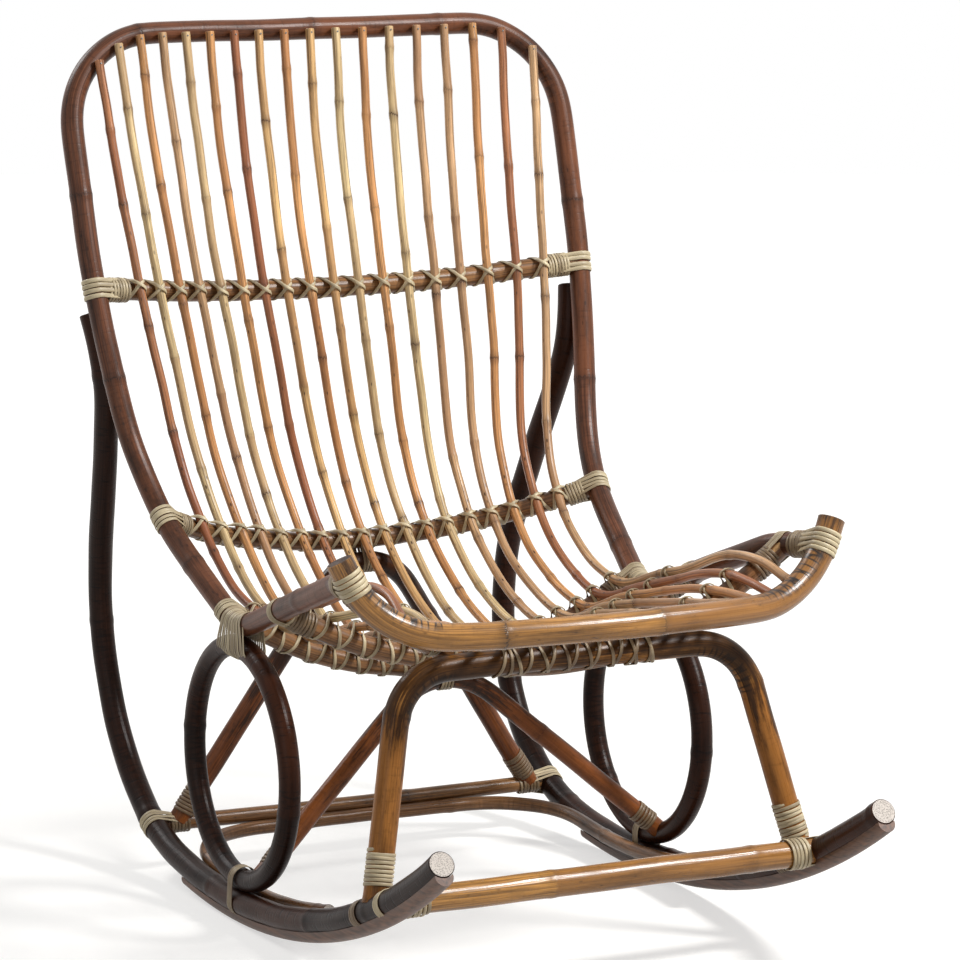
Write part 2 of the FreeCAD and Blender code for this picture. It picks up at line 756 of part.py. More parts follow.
def brace_side(setback):
    """The floor brace beside the rocker."""
    rocker = floor_curve(setback)
    return Vector(rocker.x - brace_inset, setback, rocker.z + size("floor_brace_lift"))


def brace_stations():
    """Stations of the right half of the floor brace, from the middle to the front tip."""
    corner = size("floor_brace_corner_radius")
    turn_start = brace_back + ACROSS * (brace_side(0).x - corner)
    runs = spread(brace_back.y - corner, -size("floor_brace_reach"), 4)
    return ([(brace_back, ACROSS), (turn_start, ACROSS)]
            + [(point, way * -1) for point, way in sampled(brace_side, runs)])


brace_right = brace_stations()
brace_left = [(mirrored(point, -1), mirrored(way, -1) * -1)
              for point, way in reversed(brace_right[1:])]
floor_brace_wire = chain(brace_left + brace_right)

# Lashings: each strand is one unbroken tube, wound by a formula

strand_radius = radius("strand_diameter")
strand_pitch = size("strand_diameter") + size("strand_space")


def coil(axis, start, way, reach):
    """A function that winds round one pole, whose axis is a function of length."""
    def place(turn):
        at = start + way * turn * strand_pitch
        point = axis(at)
        along = unit(axis(at + 0.5) - axis(at - 0.5))
        side = unit(along.cross(Vector(0.31, 0.52, 0.79)))
        angle = 2 * math.pi * turn
        return point + (side * math.cos(angle) + along.cross(side) * math.sin(angle)) * reach
    return place, [0.0, 0.25, 0.5, 0.75]


def hitch(first, second, start, reach, pitch):
    """A function that winds round two poles side by side, whose axes are functions of length."""
    def place(turn):
        at = start + turn * pitch
        lower = first(at)
        upper = second(at)
        along = unit(first(at + 0.5) - first(at - 0.5) + second(at + 0.5) - second(at - 0.5))
        apart = (upper - lower).Length
        across = unit(upper - lower)
        side = unit(along.cross(across))
        quarter = math.pi * reach / 2
        run = (turn % 1.0) * (2 * apart + 4 * quarter)
        if run < apart:
            return lower + across * run + side * reach
        run -= apart
        if run < 2 * quarter:
            angle = run / reach
            return upper + (side * math.cos(angle) + across * math.sin(angle)) * reach
        run -= 2 * quarter
        if run < apart:
            return upper - across * run - side * reach
        angle = (run - apart) / reach
        return lower - (side * math.cos(angle) + across * math.sin(angle)) * reach
    apart = (second(start) - first(start)).Length
    lengths = [apart, math.pi * reach / 2, math.pi * reach / 2, apart, math.pi * reach / 2]
    whole = 2 * apart + 2 * math.pi * reach
    return place, [0.0] + [sum(lengths[:count]) / whole for count in range(1, 6)]


def self_gap(points, per_turn):
    """Least gap between turns of a strand, measured on points."""
    least = 1e9
    for index, point in enumerate(points):
        for other in points[index + per_turn // 2:index + 2 * per_turn]:
            least = min(least, point.distanceToPoint(other))
    return least - size("strand_diameter")


strand_gaps = []


def strand(label, stations, edges_per_turn):
    """One unbroken strand through its stations."""
    wire = chain(stations)
    gap = self_gap(dense(wire, 6), 5 * edges_per_turn)
    strand_gaps.append(gap)
    print("%s: least gap to itself %.2f mm" % (label, gap))
    return pole(label, wire, "strand_diameter")


def winding(label, plan, turns):
    """One strand that winds a number of turns by a plan from coil or hitch."""
    place, shares = plan
    parameters = [turn + share for turn in range(turns) for share in shares] + [float(turns)]
    return strand(label, sampled(place, parameters, 1e-3), 2 * len(shares))


def lacing(label, name, tied):
    """One strand that ties slats to a bar: over each slat, then behind the bar."""
    bar = bars[name]
    clear = slat_radius + strand_radius + 2 * GAP
    round_bar = bar.thick + strand_radius + 4 * GAP
    slant = 0.62 * bar.thick
    points = []
    for slat, following in zip(tied, tied[1:] + [None]):
        angle = slat.angles[name]
        bar_way = bar.way(angle)
        out = slat.out[name]
        along = slat.along[name]
        down = bar_way.cross(out)
        side = unit(along.cross(out))
        side = side if side.dot(bar_way) > 0 else side * -1
        slat_axis = bar.at(angle) + out * (bar.thick + slat_radius + GAP)
        over = [slat_axis + (side * math.sin(turn) + out * math.cos(turn)) * clear
                + along * (slant * turn * 2 / math.pi)
                for turn in spread(-math.pi / 2, math.pi / 2, 5)]
        first = bar_way * (over[0] - slat_axis).dot(bar_way)
        if slat is tied[0]:
            points.append(bar.at(angle) + first - unit(down + out * 2) * round_bar)
        points.append(bar.at(angle) + first - down * round_bar)
        points += over
        points.append(bar.at(angle) - first + down * round_bar)
        if following:
            back = unit(out + following.out[name])
            points.append(bar.at((angle + following.angles[name]) / 2) - back * round_bar)
        else:
            points.append(bar.at(angle) - first + unit(down - out * 2) * round_bar)
    wire = curve(points)
    gap = self_gap(dense(wire, 4), 48)
    strand_gaps.append(gap)
    print("%s: least gap to itself %.2f mm" % (label, gap))
    return pole(label, wire, "strand_diameter")


def lacings():
    """The ties of the slats on every bar, and on the front arch where it carries them."""
    for name in BACK_ORDER:
        label = bars[name].label + "_lacing"
        nodes.append((label, lacing(label, name, slats)))
    on_bar = [slat for slat in slats if "front" in slat.rests]
    on_arch = [slat for slat in slats if "front" not in slat.rests]
    runs = [("front", [slat for slat in on_bar if slat.share < 0]), ("arch", on_arch),
            ("front", [slat for slat in on_bar if slat.share > 0])]
    strands = [lacing("front_lacing_%d" % (index + 1), name, tied)
               for index, (name, tied) in enumerate(runs) if len(tied) > 1]
    nodes.append(("front_seat_bar_lacing", group("front_seat_bar_lacing", strands)))


def line_axis(start, way):
    """Axis function of a straight pole."""
    return lambda at: start + way * at


def bar_axis(bar, side):
    """Axis function of a bar, by length from its right or left end."""
    return lambda at: mirrored(bar.at(bar.inset(at)), side)


def side_axis(function, side):
    """Axis function of a piece on the right, or of its mirror image."""
    return lambda at: mirrored(function(at), side)


def coils(label, members):
    """A node of several coils: axis, start, way, diameter of the pole, turns."""
    strands = []
    for index, (axis, start, way, diameter, turns) in enumerate(members):
        reach = radius(diameter) + strand_radius + GAP
        plan = coil(axis, start, way, reach)
        strands.append(winding("%s_%02d" % (label, index + 1), plan, turns))
    return strands


def bar_bindings(label, bar, height, bar_turns, below_turns):
    """Turns on both ends of a back bar and on the pole above and below each joint."""
    members = []
    apart = bar.thick + 2 * size("strand_diameter")
    for _, side in SIDES:
        members.append((bar_axis(bar, side), strand_pitch, 1, bar.diameter, bar_turns))
        pole_axis = side_axis(back_axis, side)
        members.append((pole_axis, height + apart, 1, "frame_diameter", 3))
        if below_turns:
            members.append((pole_axis, height - apart, -1, "frame_diameter", below_turns))
    nodes.append((label, group(label, coils(label, members))))


def seat_bar_bindings():
    """Turns on the side rails, in front of and behind the seat bars."""
    members = []
    apart = radius("seat_bar_diameter") + 2 * size("strand_diameter")
    for _, side in SIDES:
        rail_axis = side_axis(rail_point, side)
        for reach in (size("mid_bar_reach"), size("front_bar_reach")):
            members.append((rail_axis, 1.5 * apart - reach, 1, "frame_diameter", 3))
            members.append((rail_axis, -apart - reach, -1, "frame_diameter", 2))
        members.append((side_axis(rise_point, side), size("rear_bar_setback") + apart, 1,
                        "frame_diameter", 3))
    nodes.append(("seat_bar_bindings", group("seat_bar_bindings",
                                             coils("seat_bar_bindings", members))))


def build_lashings():
    """Every lashing of the chair."""
    lacings()
    bar_bindings("upper_bar_bindings", bars["upper"], size("upper_bar_height"), 4, 0)
    bar_bindings("lower_bar_bindings", bars["lower"], size("lower_bar_height"), 3, 2)
    seat_bar_bindings()

    strands = []
    pair_reach = max(radius("frame_diameter"), radius("ring_diameter")) + strand_radius + 1.5
    for name, side in SIDES:
        def ring_top(at, side=side):
            return mirrored(ring_point(math.pi - math.asin(at / size("ring_radius"))), side)

        def frame_low(at, side=side):
            return mirrored(corner_bend(math.asin(at / bend)) if abs(at) < bend * math.sin(rail_rise)
                            or at > 0 else rail_point(corner_setback + at), side)
        plan = hitch(ring_top, frame_low, -34.0, pair_reach, strand_pitch + 0.4)
        strands.append(winding("seat_corner_binding_" + name, plan, 12))
    nodes.append(("seat_corner_bindings", group("seat_corner_bindings", strands)))

    members = []
    tie_start = size("front_rail_corner_radius") * rail_turn - 2 * size("frame_diameter")
    for _, side in SIDES:
        end_axis = side_axis(lambda at: rail_end_curve(at / size("front_rail_corner_radius")), side)
        members.append((end_axis, tie_start, -1, "front_rail_diameter", 4))
    nodes.append(("front_rail_bindings", group("front_rail_bindings",
                                               coils("front_rail_bindings", members))))

    members = []
    for _, side in SIDES:
        inner = mirrored(rear_foot - ACROSS * size("rear_arch_diameter"), side)
        members.append((line_axis(inner, ACROSS * -side), 0.0, 1, "rear_stretcher_diameter", 3))
        heel_axis = side_axis(lambda at: heel_curve(at / size("heel_radius")), side)
        joint_at = size("heel_radius") * math.asin((rear_joint.y - heel_centre[0])
                                                   / size("heel_radius"))
        apart = radius("rear_stretcher_diameter") + size("strand_diameter")
        members.append((heel_axis, joint_at + apart, 1, "rocker_diameter", 4))
        members.append((heel_axis, joint_at - apart, -1, "rocker_diameter", 4))
    nodes.append(("rear_stretcher_bindings", group("rear_stretcher_bindings",
                                                   coils("rear_stretcher_bindings", members))))

    members = []
    for _, side in SIDES:
        foot = mirrored(front_leg_end, side)
        axis = line_axis(foot, mirrored(front_leg_way, side))
        members.append((axis, 5 * strand_pitch, 1, "front_arch_diameter", 9))
        end = mirrored(front_joint - ACROSS * rocker_stand, side)
        members.append((line_axis(end, ACROSS * -side), strand_pitch, 1,
                        "front_stretcher_diameter", 5))
    nodes.append(("front_leg_bindings", group("front_leg_bindings",
                                              coils("front_leg_bindings", members))))

    members = []
    mid_way = unit(mid_arch_wire.OrderedEdges[-1].Vertexes[0].Point
                   - mid_arch_wire.OrderedEdges[-1].Vertexes[-1].Point)
    rear_way = unit(rear_arch_wire.OrderedEdges[-1].Vertexes[0].Point
                    - rear_arch_wire.OrderedEdges[-1].Vertexes[-1].Point)
    for _, side in SIDES:
        foot = mirrored(mid_foot + mid_way * (radius("ring_diameter") + GAP), side)
        members.append((line_axis(foot, mirrored(mid_way, side)), 4 * strand_pitch, 1,
                        "mid_arch_diameter", 4))
        foot = mirrored(rear_foot + rear_way * (radius("rear_stretcher_diameter") + GAP), side)
        members.append((line_axis(foot, mirrored(rear_way, side)), 5 * strand_pitch, 1,
                        "rear_arch_diameter", 4))
    nodes.append(("arch_foot_bindings", group("arch_foot_bindings",
                                              coils("arch_foot_bindings", members))))


# Pieces


def build_poles():
    """Every cane, before its holes are drilled."""
    canes = {"back_frame": (frame_wire, "frame_diameter"),
             "front_rail": (front_rail_wire, "front_rail_diameter"),
             "front_arch": (front_arch_wire, "front_arch_diameter"),
             "mid_arch": (mid_arch_wire, "mid_arch_diameter"),
             "rear_arch": (rear_arch_wire, "rear_arch_diameter"),
             "rear_stretcher": (rear_stretcher_wire, "rear_stretcher_diameter"),
             "front_stretcher": (front_stretcher_wire, "front_stretcher_diameter"),
             "floor_brace": (floor_brace_wire, "floor_brace_diameter")}
    for name in BAR_ORDER:
        canes[bars[name].label] = (bars[name].wire(), bars[name].diameter)
    for slat in slats:
        canes[slat.label] = (slat.wire(), "slat_diameter")
    for name, side in SIDES:
        canes["rocker_" + name] = (chain(mirror_stations(rocker_stations, side)), "rocker_diameter")
    pieces = {label: pole(label, wire, diameter) for label, (wire, diameter) in canes.items()}
    for name, side in SIDES:
        pieces["side_ring_" + name] = side_ring("side_ring_" + name, side)
        pieces["skid_" + name] = skid("skid_" + name, side)
    wider = " + Sizes.contact_gap"
    rail_seat = pole("front_rail_seat", front_rail_wire, "front_rail_diameter", wider)
    seats = {"back_frame": [rail_seat],
             "rear_arch": [pole("stretcher_seat", rear_stretcher_wire, "rear_stretcher_diameter",
                                wider)],
             "mid_arch": [side_ring("ring_seat_" + name, side, wider) for name, side in SIDES],
             "front_arch": [pole("rocker_seat_" + name, canes["rocker_" + name][0],
                                 "rocker_diameter", wider) for name, side in SIDES]}
    seats.update({slat.label: [rail_seat] for slat in slats})
    for label, tools in seats.items():
        pieces[label] = cut(label + "_coped", pieces[label], tools)
    return pieces


def side_ring(label, side, extra=""):
    """A closed ring between the rocker and the seat corner. extra is added to its thickness."""
    torus = document.addObject("Part::Torus", label)
    torus.setExpression("Radius1", "Sizes.ring_radius")
    torus.setExpression("Radius2", "Sizes.ring_diameter / 2" + extra)
    torus.Placement = Placement(mirrored(ring_centre, side), Rotation(Vector(0, 1, 0), 90))
    return torus


def skid(label, side):
    """A split cane under the rocker, hollowed to fit it."""
    stations = sampled(floor_curve, spread(front_tip, size("skid_setback"), 6))
    start, way = stations[0]
    across = unit(Vector(0, 0, 1).cross(way))
    down = across.cross(way)
    down = down if down.z < 0 else down * -1
    hollow = radius("rocker_diameter") + GAP
    edge_angle = math.asin(size("skid_width") / 2 / hollow)

    def around(angle, reach):
        return mirrored(start + (across * math.sin(angle) + down * math.cos(angle)) * reach, side)
    left = around(-edge_angle, hollow)
    right = around(edge_angle, hollow)
    lowest = around(0, radius("rocker_diameter") + size("skid_thickness"))
    outline = Part.Wire([Part.Arc(left, around(0, hollow), right).toShape(),
                         Part.Arc(right, lowest, left).toShape()])
    section = document.addObject("Part::Feature", label + "_section")
    section.Shape = outline
    return sweep(label, chain(mirror_stations(stations, side)), section)


def build_fasteners():
    """Hidden dowels, nails and screws, each with its hole."""
    members = []
    for bar in [bars[name] for name in BAR_ORDER]:
        reach = bar.span - bar.trim
        for _, side in SIDES:
            centre = mirrored(bar.at(reach), side)
            members.append((centre, mirrored(bar.way(reach), side), ("back_frame", bar.label)))
    for name, side in SIDES:
        rocker = "rocker_" + name
        members.append((mirrored(front_leg_end, side), mirrored(front_leg_way, side),
                        (rocker, "front_arch")))
        for joint, label in ((rear_joint, "rear_stretcher"), (front_joint, "front_stretcher")):
            members.append((mirrored(joint - ACROSS * rocker_stand, side), ACROSS, (rocker, label)))
    fasten("joint_dowels", members, "dowel_diameter", "dowel_length")

    members = []
    for slat in slats:
        below_end = slat.points[0] + slat.down * (2 * size("nail_diameter"))
        head = below_end + slat.top_out * (slat_radius + size("nail_proud"))
        centre = head - slat.top_out * (size("nail_length") / 2)
        members.append((centre, slat.top_out, ("back_frame", slat.label)))
        members.append((slat.points[-1], slat.tip_way, ("front_rail", slat.label)))
    fasten("slat_nails", members, "nail_diameter", "nail_length")

    members = []
    for name, side in SIDES:
        count = int(size("skid_nail_count"))
        inset = size("skid_width")
        for setback in spread(front_tip + inset, size("skid_setback") - inset, count):
            (axis, way), = sampled(floor_curve, [setback])
            across = unit(Vector(0, 0, 1).cross(way))
            down = across.cross(way)
            down = down if down.z < 0 else down * -1
            bottom = radius("rocker_diameter") + size("skid_thickness") - size("skid_thickness") / 3
            centre = axis + down * (bottom - size("nail_length") / 2)
            members.append((mirrored(centre, side), mirrored(down, side),
                            ("rocker_" + name, "skid_" + name)))
    fasten("skid_nails", members, "nail_diameter", "nail_length")

    members = []
    for name, side in SIDES:
        rocker = "rocker_" + name
        ring = "side_ring_" + name
        touch = ring_point(0) - Vector(0, 0, radius("ring_diameter"))
        members.append((mirrored(touch, side), Vector(0, 0, 1), (rocker, ring)))
        touch = ring_point(math.pi) + Vector(0, 0, radius("ring_diameter"))
        members.append((mirrored(touch, side), Vector(0, 0, 1), (ring, "back_frame")))
        low = size("rocker_top_height") - size("rocker_overlap")
        square = Vector(0, math.cos(lean), -math.sin(lean))
        touch = straight_back(low) + square * radius("frame_diameter")
        members.append((mirrored(touch, side), square, (rocker, "back_frame")))
    fasten("frame_screws", members, "screw_diameter", "screw_length")


def main():
    """Build, check and write every node."""
    pieces = build_poles()
    build_fasteners()
    build_lashings()
    for label, piece in pieces.items():
        tools = holes.get(label, [])
        nodes.append((label, cut(label, piece, tools) if tools else piece))
    document.recompute()
    os.makedirs("parts", exist_ok=True)
    written = 0
    for label, piece in nodes:
        piece.Label = label
        shape = piece.Shape
        if "Invalid" in piece.State or "Error" in piece.State or shape.isNull():
            raise RuntimeError("node %s did not build" % label)
        if not shape.isValid() or not shape.Solids:
            raise RuntimeError("node %s is not a valid solid" % label)
        shape.exportStep("parts/%s.step" % label)
        written += 1
    print("wrote %d nodes; least strand gap %.2f mm" % (written, min(strand_gaps)))


main()
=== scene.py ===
import math

import bpy
import numpy as np
from bpy.props import FloatProperty, FloatVectorProperty, IntProperty, PointerProperty
from mathutils import Matrix


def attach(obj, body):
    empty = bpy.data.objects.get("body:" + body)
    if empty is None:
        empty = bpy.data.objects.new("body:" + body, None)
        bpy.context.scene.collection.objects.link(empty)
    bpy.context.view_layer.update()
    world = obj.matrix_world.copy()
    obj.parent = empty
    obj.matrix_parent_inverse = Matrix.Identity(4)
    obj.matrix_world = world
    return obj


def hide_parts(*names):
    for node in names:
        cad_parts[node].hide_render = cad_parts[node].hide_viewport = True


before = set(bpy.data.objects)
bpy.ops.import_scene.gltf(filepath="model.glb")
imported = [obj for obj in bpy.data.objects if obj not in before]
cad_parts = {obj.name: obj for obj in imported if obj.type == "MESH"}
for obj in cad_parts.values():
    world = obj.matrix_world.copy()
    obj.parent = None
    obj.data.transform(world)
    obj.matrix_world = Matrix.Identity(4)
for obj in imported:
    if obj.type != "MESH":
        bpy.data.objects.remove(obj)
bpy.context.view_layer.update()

bl_info = {
    "name": "Rattan rocking chair",
    "version": (1, 0, 0),
    "blender": (4, 5, 0),
    "location": "3D View > Sidebar > Rocking chair",
    "description": "Dresses the frame of a rattan rocking chair with canes, lashings and a studio",
    "category": "Add Mesh",
}

BODY = "root"


def linear(text):
    """The linear red, green and blue of an sRGB hex colour."""
    shares = [int(text[i:i + 2], 16) / 255 for i in (1, 3, 5)]
    return [s / 12.92 if s <= 0.04045 else ((s + 0.055) / 1.055) ** 2.4 for s in shares]


# Radii of the canes in millimetres, as in the CAD model. Their middle lines come from the frame.

RADII = {
    "back_frame": 13.0, "front_rail": 15.0, "front_arch": 14.5, "mid_arch": 11.0, "rear_arch": 12.0,
    "floor_brace": 8.25, "upper_back_bar": 12.0, "lower_back_bar": 11.0, "rear_seat_bar": 12.0,
    "mid_seat_bar": 12.0, "front_seat_bar": 12.0, "rear_stretcher": 9.5, "front_stretcher": 15.0,
    "rocker_left": 14.5, "rocker_right": 14.5, "side_ring_left": 12.5, "side_ring_right": 12.5,
}
SLAT_RADIUS = 5.2
SLATS = sorted(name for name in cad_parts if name.startswith("slat_") and name[-1].isdigit())
BARS = ("upper_back_bar", "lower_back_bar", "rear_seat_bar", "mid_seat_bar", "front_seat_bar")
STRETCHERS = ("front_stretcher", "rear_stretcher")

# Metres between the points of a cane, and for close looks at it; points of a bend, a stretch and a ring

CANE_STEP = 0.004
WAY_REACH = 0.002
FINE_STEP = 0.001
BEND_REACH = 4
STRETCH_POINTS = 24
RING_POINTS = 40

# A direction that no pole runs in, and the source of all random numbers

REFERENCE = np.array((0.31, 0.52, 0.79))
draws = np.random.default_rng(5)


def unit(vectors):
    """Vectors of the same directions with length 1."""
    return vectors / np.maximum(np.linalg.norm(vectors, axis=-1, keepdims=True), 1e-12)


def square_to(vectors, ways):
    """Vectors without their parts along unit directions."""
    return vectors - ways * np.sum(vectors * ways, axis=-1, keepdims=True)


def lengths_along(points):
    """Lengths along a line from its first point to each of its points."""
    return np.r_[0, np.cumsum(np.linalg.norm(np.diff(points, axis=0), axis=1))]


def between(at, lengths, points):
    """Places at lengths along a line, between its points."""
    return np.stack([np.interp(at, lengths, points[:, j]) for j in range(3)], axis=-1)


def smooth_line(points, step, closed=False):
    """Evenly spaced points on the smooth curve through control points."""
    if closed:
        knots = np.vstack([points[-1:], points, points[:2]])
    else:
        knots = np.vstack([2 * points[:1] - points[1:2], points, 2 * points[-1:] - points[-2:-1]])
    t = np.linspace(0, 1, STRETCH_POINTS, endpoint=False)[:, None]
    parts = []
    for a, b, c, d in zip(knots, knots[1:], knots[2:], knots[3:]):
        parts.append(b + 0.5 * t * ((c - a) + t * ((2 * a - 5 * b + 4 * c - d)
                                                   + t * (3 * b - a - 3 * c + d))))
    fine = np.vstack(parts + [knots[-2:-1]])
    lengths = lengths_along(fine)
    even = np.linspace(0, lengths[-1], max(3, round(lengths[-1] / step) + 1))
    return between(even, lengths, fine)


class Pole:
    """The middle line of a cane as close points, with its radius."""

    def __init__(self, points, radius, closed=False):
        self.points = points
        self.radius = radius
        self.closed = closed
        self.lengths = lengths_along(points)
        self.length = self.lengths[-1]

    def at(self, length):
        """Points at lengths along the line. Past its ends it runs straight on."""
        length = np.asarray(length, float)
        if self.closed:
            length = np.mod(length, self.length)
        inside = np.clip(length, 0, self.length)
        place = between(inside, self.lengths, self.points)
        before = unit(self.points[1] - self.points[0])
        after = unit(self.points[-1] - self.points[-2])
        past = (length - inside)[..., None]
        return place + np.where(past < 0, past * before, past * after)

    def way(self, length):
        """Directions of the line at lengths along it."""
        length = np.asarray(length)
        return unit(self.at(length + WAY_REACH) - self.at(length - WAY_REACH))

    def near(self, point):
        """Length along the line of the place nearest to a point."""
        return self.lengths[np.argmin(np.linalg.norm(self.points - point, axis=1))]

    def flipped(self):
        """The same line from its other end."""
        return Pole(self.points[::-1], self.radius, self.closed)

    def part(self, middle, reach):
        """A short piece of the line around a length."""
        return Pole(self.at(np.arange(middle - reach, middle + reach, FINE_STEP)), self.radius)

    def away(self, points):
        """Vectors to points from the nearest places on the line."""
        gaps = points[:, None] - self.points[None]
        nearest = np.argmin(np.einsum("ijk,ijk->ij", gaps, gaps), axis=1)
        return gaps[np.arange(len(points)), nearest]


# Middle lines of the canes, worked out from the CAD meshes

# Metres: a spot's width in the cloud, a step of the walk along it and the reach of each look round it

SPOT_WIDTH = 0.001
WALK_STEP = 0.006
WALK_REACH = 0.009

# Fewest spots ahead that the walk goes on for, spots tried as its start, and rounds of smoothing

FEW_SPOTS = 6
STARTS = 150
SMOOTHINGS = 6

# Metres: how far a grown cane sways and over what lengths, and where ends bend into a pole they meet

POLE_SWAY = 0.0007
SLAT_SWAY = 0.0010
SWAY_WAVES = (0.33, 0.17, 0.09)
SWAY_FADE = 0.05
LEAD_LENGTH = 0.09
RAIL_TIP = 0.026


def read_mesh(node):
    """Places of a CAD node's vertices, and the corners of its triangles."""
    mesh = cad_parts[node].data
    mesh.calc_loop_triangles()
    places = np.empty(len(mesh.vertices) * 3, np.float32)
    mesh.vertices.foreach_get("co", places)
    corners = np.empty(len(mesh.loop_triangles) * 3, np.int32)
    mesh.loop_triangles.foreach_get("vertices", corners)
    return places.reshape(-1, 3).astype(float), corners.reshape(-1, 3)


def inner_cloud(places, corners, radius):
    """Points spread evenly over a round surface and moved in by its radius, so to its middle line."""
    first, second, third = (places[corners[:, i]] for i in range(3))
    square = np.cross(second - first, third - first)
    share = np.linalg.norm(square, axis=1)
    count = int(share.sum() / 2 / (SPOT_WIDTH * radius))
    pick = draws.choice(len(corners), count, p=share / share.sum())
    a, b = draws.random((2, count, 1))
    past = a + b > 1
    a = np.where(past, 1 - a, a)
    b = np.where(past, 1 - b, b)
    spots = first[pick] + a * (second - first)[pick] + b * (third - first)[pick]
    return spots - unit(square[pick]) * radius


def close_to(cloud, place, reach):
    """The points of a cloud within a reach of a place."""
    return cloud[np.linalg.norm(cloud - place, axis=1) < reach]


def walk(cloud, start, way):
    """Follows a thin cloud of points in even steps, from a place on it until it ends."""
    line = [start]
    while True:
        guess = line[-1] + way * WALK_STEP
        close = close_to(cloud, guess, WALK_REACH)
        if np.sum((close - guess) @ way > 0) < FEW_SPOTS:
            return line
        beside = np.median(close, axis=0) - guess
        guess = guess + beside - way * np.dot(beside, way)
        way = unit(guess - line[-1])
        line.append(guess)


def true_end(places, end, inner, radius):
    """Where a cane really ends: the last vertex round it beyond a place on its line."""
    way = unit(end - inner)
    gaps = places - end
    along = gaps @ way
    beside = np.linalg.norm(gaps - along[:, None] * way, axis=1)
    return end + way * along[(beside < radius * 1.08) & (np.abs(along) < 3 * radius)].max()


def middle_line(node, radius):
    """Middle line of a cane, from its left or front end."""
    places, corners = read_mesh(node)
    cloud = inner_cloud(places, corners, radius)
    crowds = [len(close_to(cloud, spot, WALK_REACH)) for spot in cloud[:STARTS]]
    start = np.median(close_to(cloud, cloud[np.argmax(crowds)], WALK_REACH), axis=0)
    close = close_to(cloud, start, 2 * WALK_REACH)
    way = np.linalg.svd(close - close.mean(axis=0), full_matrices=False)[2][0]
    line = np.array(walk(cloud, start, -way)[:0:-1] + walk(cloud, start, way))
    for _ in range(SMOOTHINGS):
        line[1:-1] = (line[:-2] + 2 * line[1:-1] + line[2:]) / 4
    first = true_end(places, line[0], line[3], radius)
    last = true_end(places, line[-1], line[-4], radius)
    line = np.vstack([first, line[2:-2], last])
    return line if (line[-1] - line[0])[:2].sum() > 0 else line[::-1]


def ring_line(node, radius):
    """Middle line of an upright ring, from its lowest place."""
    places = read_mesh(node)[0]
    low = places.min(axis=0)
    high = places.max(axis=0)
    reach = (high[2] - low[2]) / 2 - radius
    turn = np.linspace(0, 2 * math.pi, RING_POINTS, endpoint=False)
    return (low + high) / 2 + np.stack([0 * turn, np.sin(turn), -np.cos(turn)], -1) * reach


def swayed(points, amount):
    """A line with the slight waves of a grown cane, up to about an amount."""
    lengths = lengths_along(points)
    waves = np.zeros_like(points)
    for wave in SWAY_WAVES:
        turn = 2 * math.pi * (lengths[:, None] / (wave * draws.uniform(0.8, 1.25)) + draws.random(3))
        waves += np.sin(turn) * wave
    fade = np.clip(np.minimum(lengths, lengths[-1] - lengths) / SWAY_FADE, 0, 1)
    return points + waves * (fade * amount / sum(SWAY_WAVES))[:, None]


def led_to(line, first, last):
    """A line whose two ends bend so that they lie on two places, inside the poles that they meet."""
    lengths = lengths_along(line)
    moved = line.copy()
    for target, end, away in ((first, line[0], lengths), (last, line[-1], lengths[-1] - lengths)):
        share = np.clip(1 - away / LEAD_LENGTH, 0, 1)
        moved += (target - end) * (share ** 2 * (3 - 2 * share))[:, None]
    return moved


def make_poles():
    """Every cane's middle line, by the name of its CAD node."""
    poles = {}
    for name in list(RADII) + SLATS:
        radius = RADII.get(name, SLAT_RADIUS) / 1000
        if "ring" in name:
            ring = smooth_line(ring_line(name, radius), CANE_STEP, closed=True)
            poles[name] = Pole(ring, radius, closed=True)
            continue
        sway = POLE_SWAY if name in RADII else SLAT_SWAY
        poles[name] = Pole(swayed(smooth_line(middle_line(name, radius), CANE_STEP), sway), radius)
    rail = poles["front_rail"]
    seat = poles["back_frame"]
    tips = (rail.at(RAIL_TIP), rail.at(rail.length - RAIL_TIP))
    poles["back_frame"] = seat = Pole(led_to(seat.points, *tips), seat.radius)
    rockers = (poles["rocker_left"], poles["rocker_right"])
    ends = dict.fromkeys(BARS, (seat, seat)) | dict.fromkeys(STRETCHERS, rockers)
    for name, (first, last) in ends.items():
        bar = poles[name]
        tips = (first.at(first.near(bar.points[0])), last.at(last.near(bar.points[-1])))
        poles[name] = Pole(led_to(bar.points, *tips), bar.radius)
    return poles


POLES = make_poles()


def length_setting(name, default, description):
    """A length in metres that a user can set."""
    return FloatProperty(name=name, default=default, unit="LENGTH", description=description)


def colour_setting(name, text, description):
    """A colour that a user can set, from its sRGB hex text."""
    return FloatVectorProperty(name=name, subtype="COLOR", default=linear(text), min=0, max=1,
                               description=description)


class CaneSizes(bpy.types.PropertyGroup):
    """Sizes of the canes and lashings that a user would change."""

    slat_growth: length_setting("Slat growth rings", 0.135, "Mean distance of a thin cane's growth rings")
    pole_growth: length_setting("Pole growth rings", 0.24, "Mean distance of a thick pole's growth rings")
    swelling: length_setting("Swelling", 0.0007, "How far a cane swells at a growth ring")
    pole_sides: IntProperty(name="Pole sides", default=24, min=8,
                            description="Faces round a thick pole")
    slat_sides: IntProperty(name="Slat sides", default=14, min=6,
                            description="Faces round a thin cane")
    peel_width: length_setting("Peel width", 0.0042, "Width of the split cane in the lashings")
    peel_thickness: length_setting("Peel thickness", 0.0015, "Thickness of the split cane in the lashings")


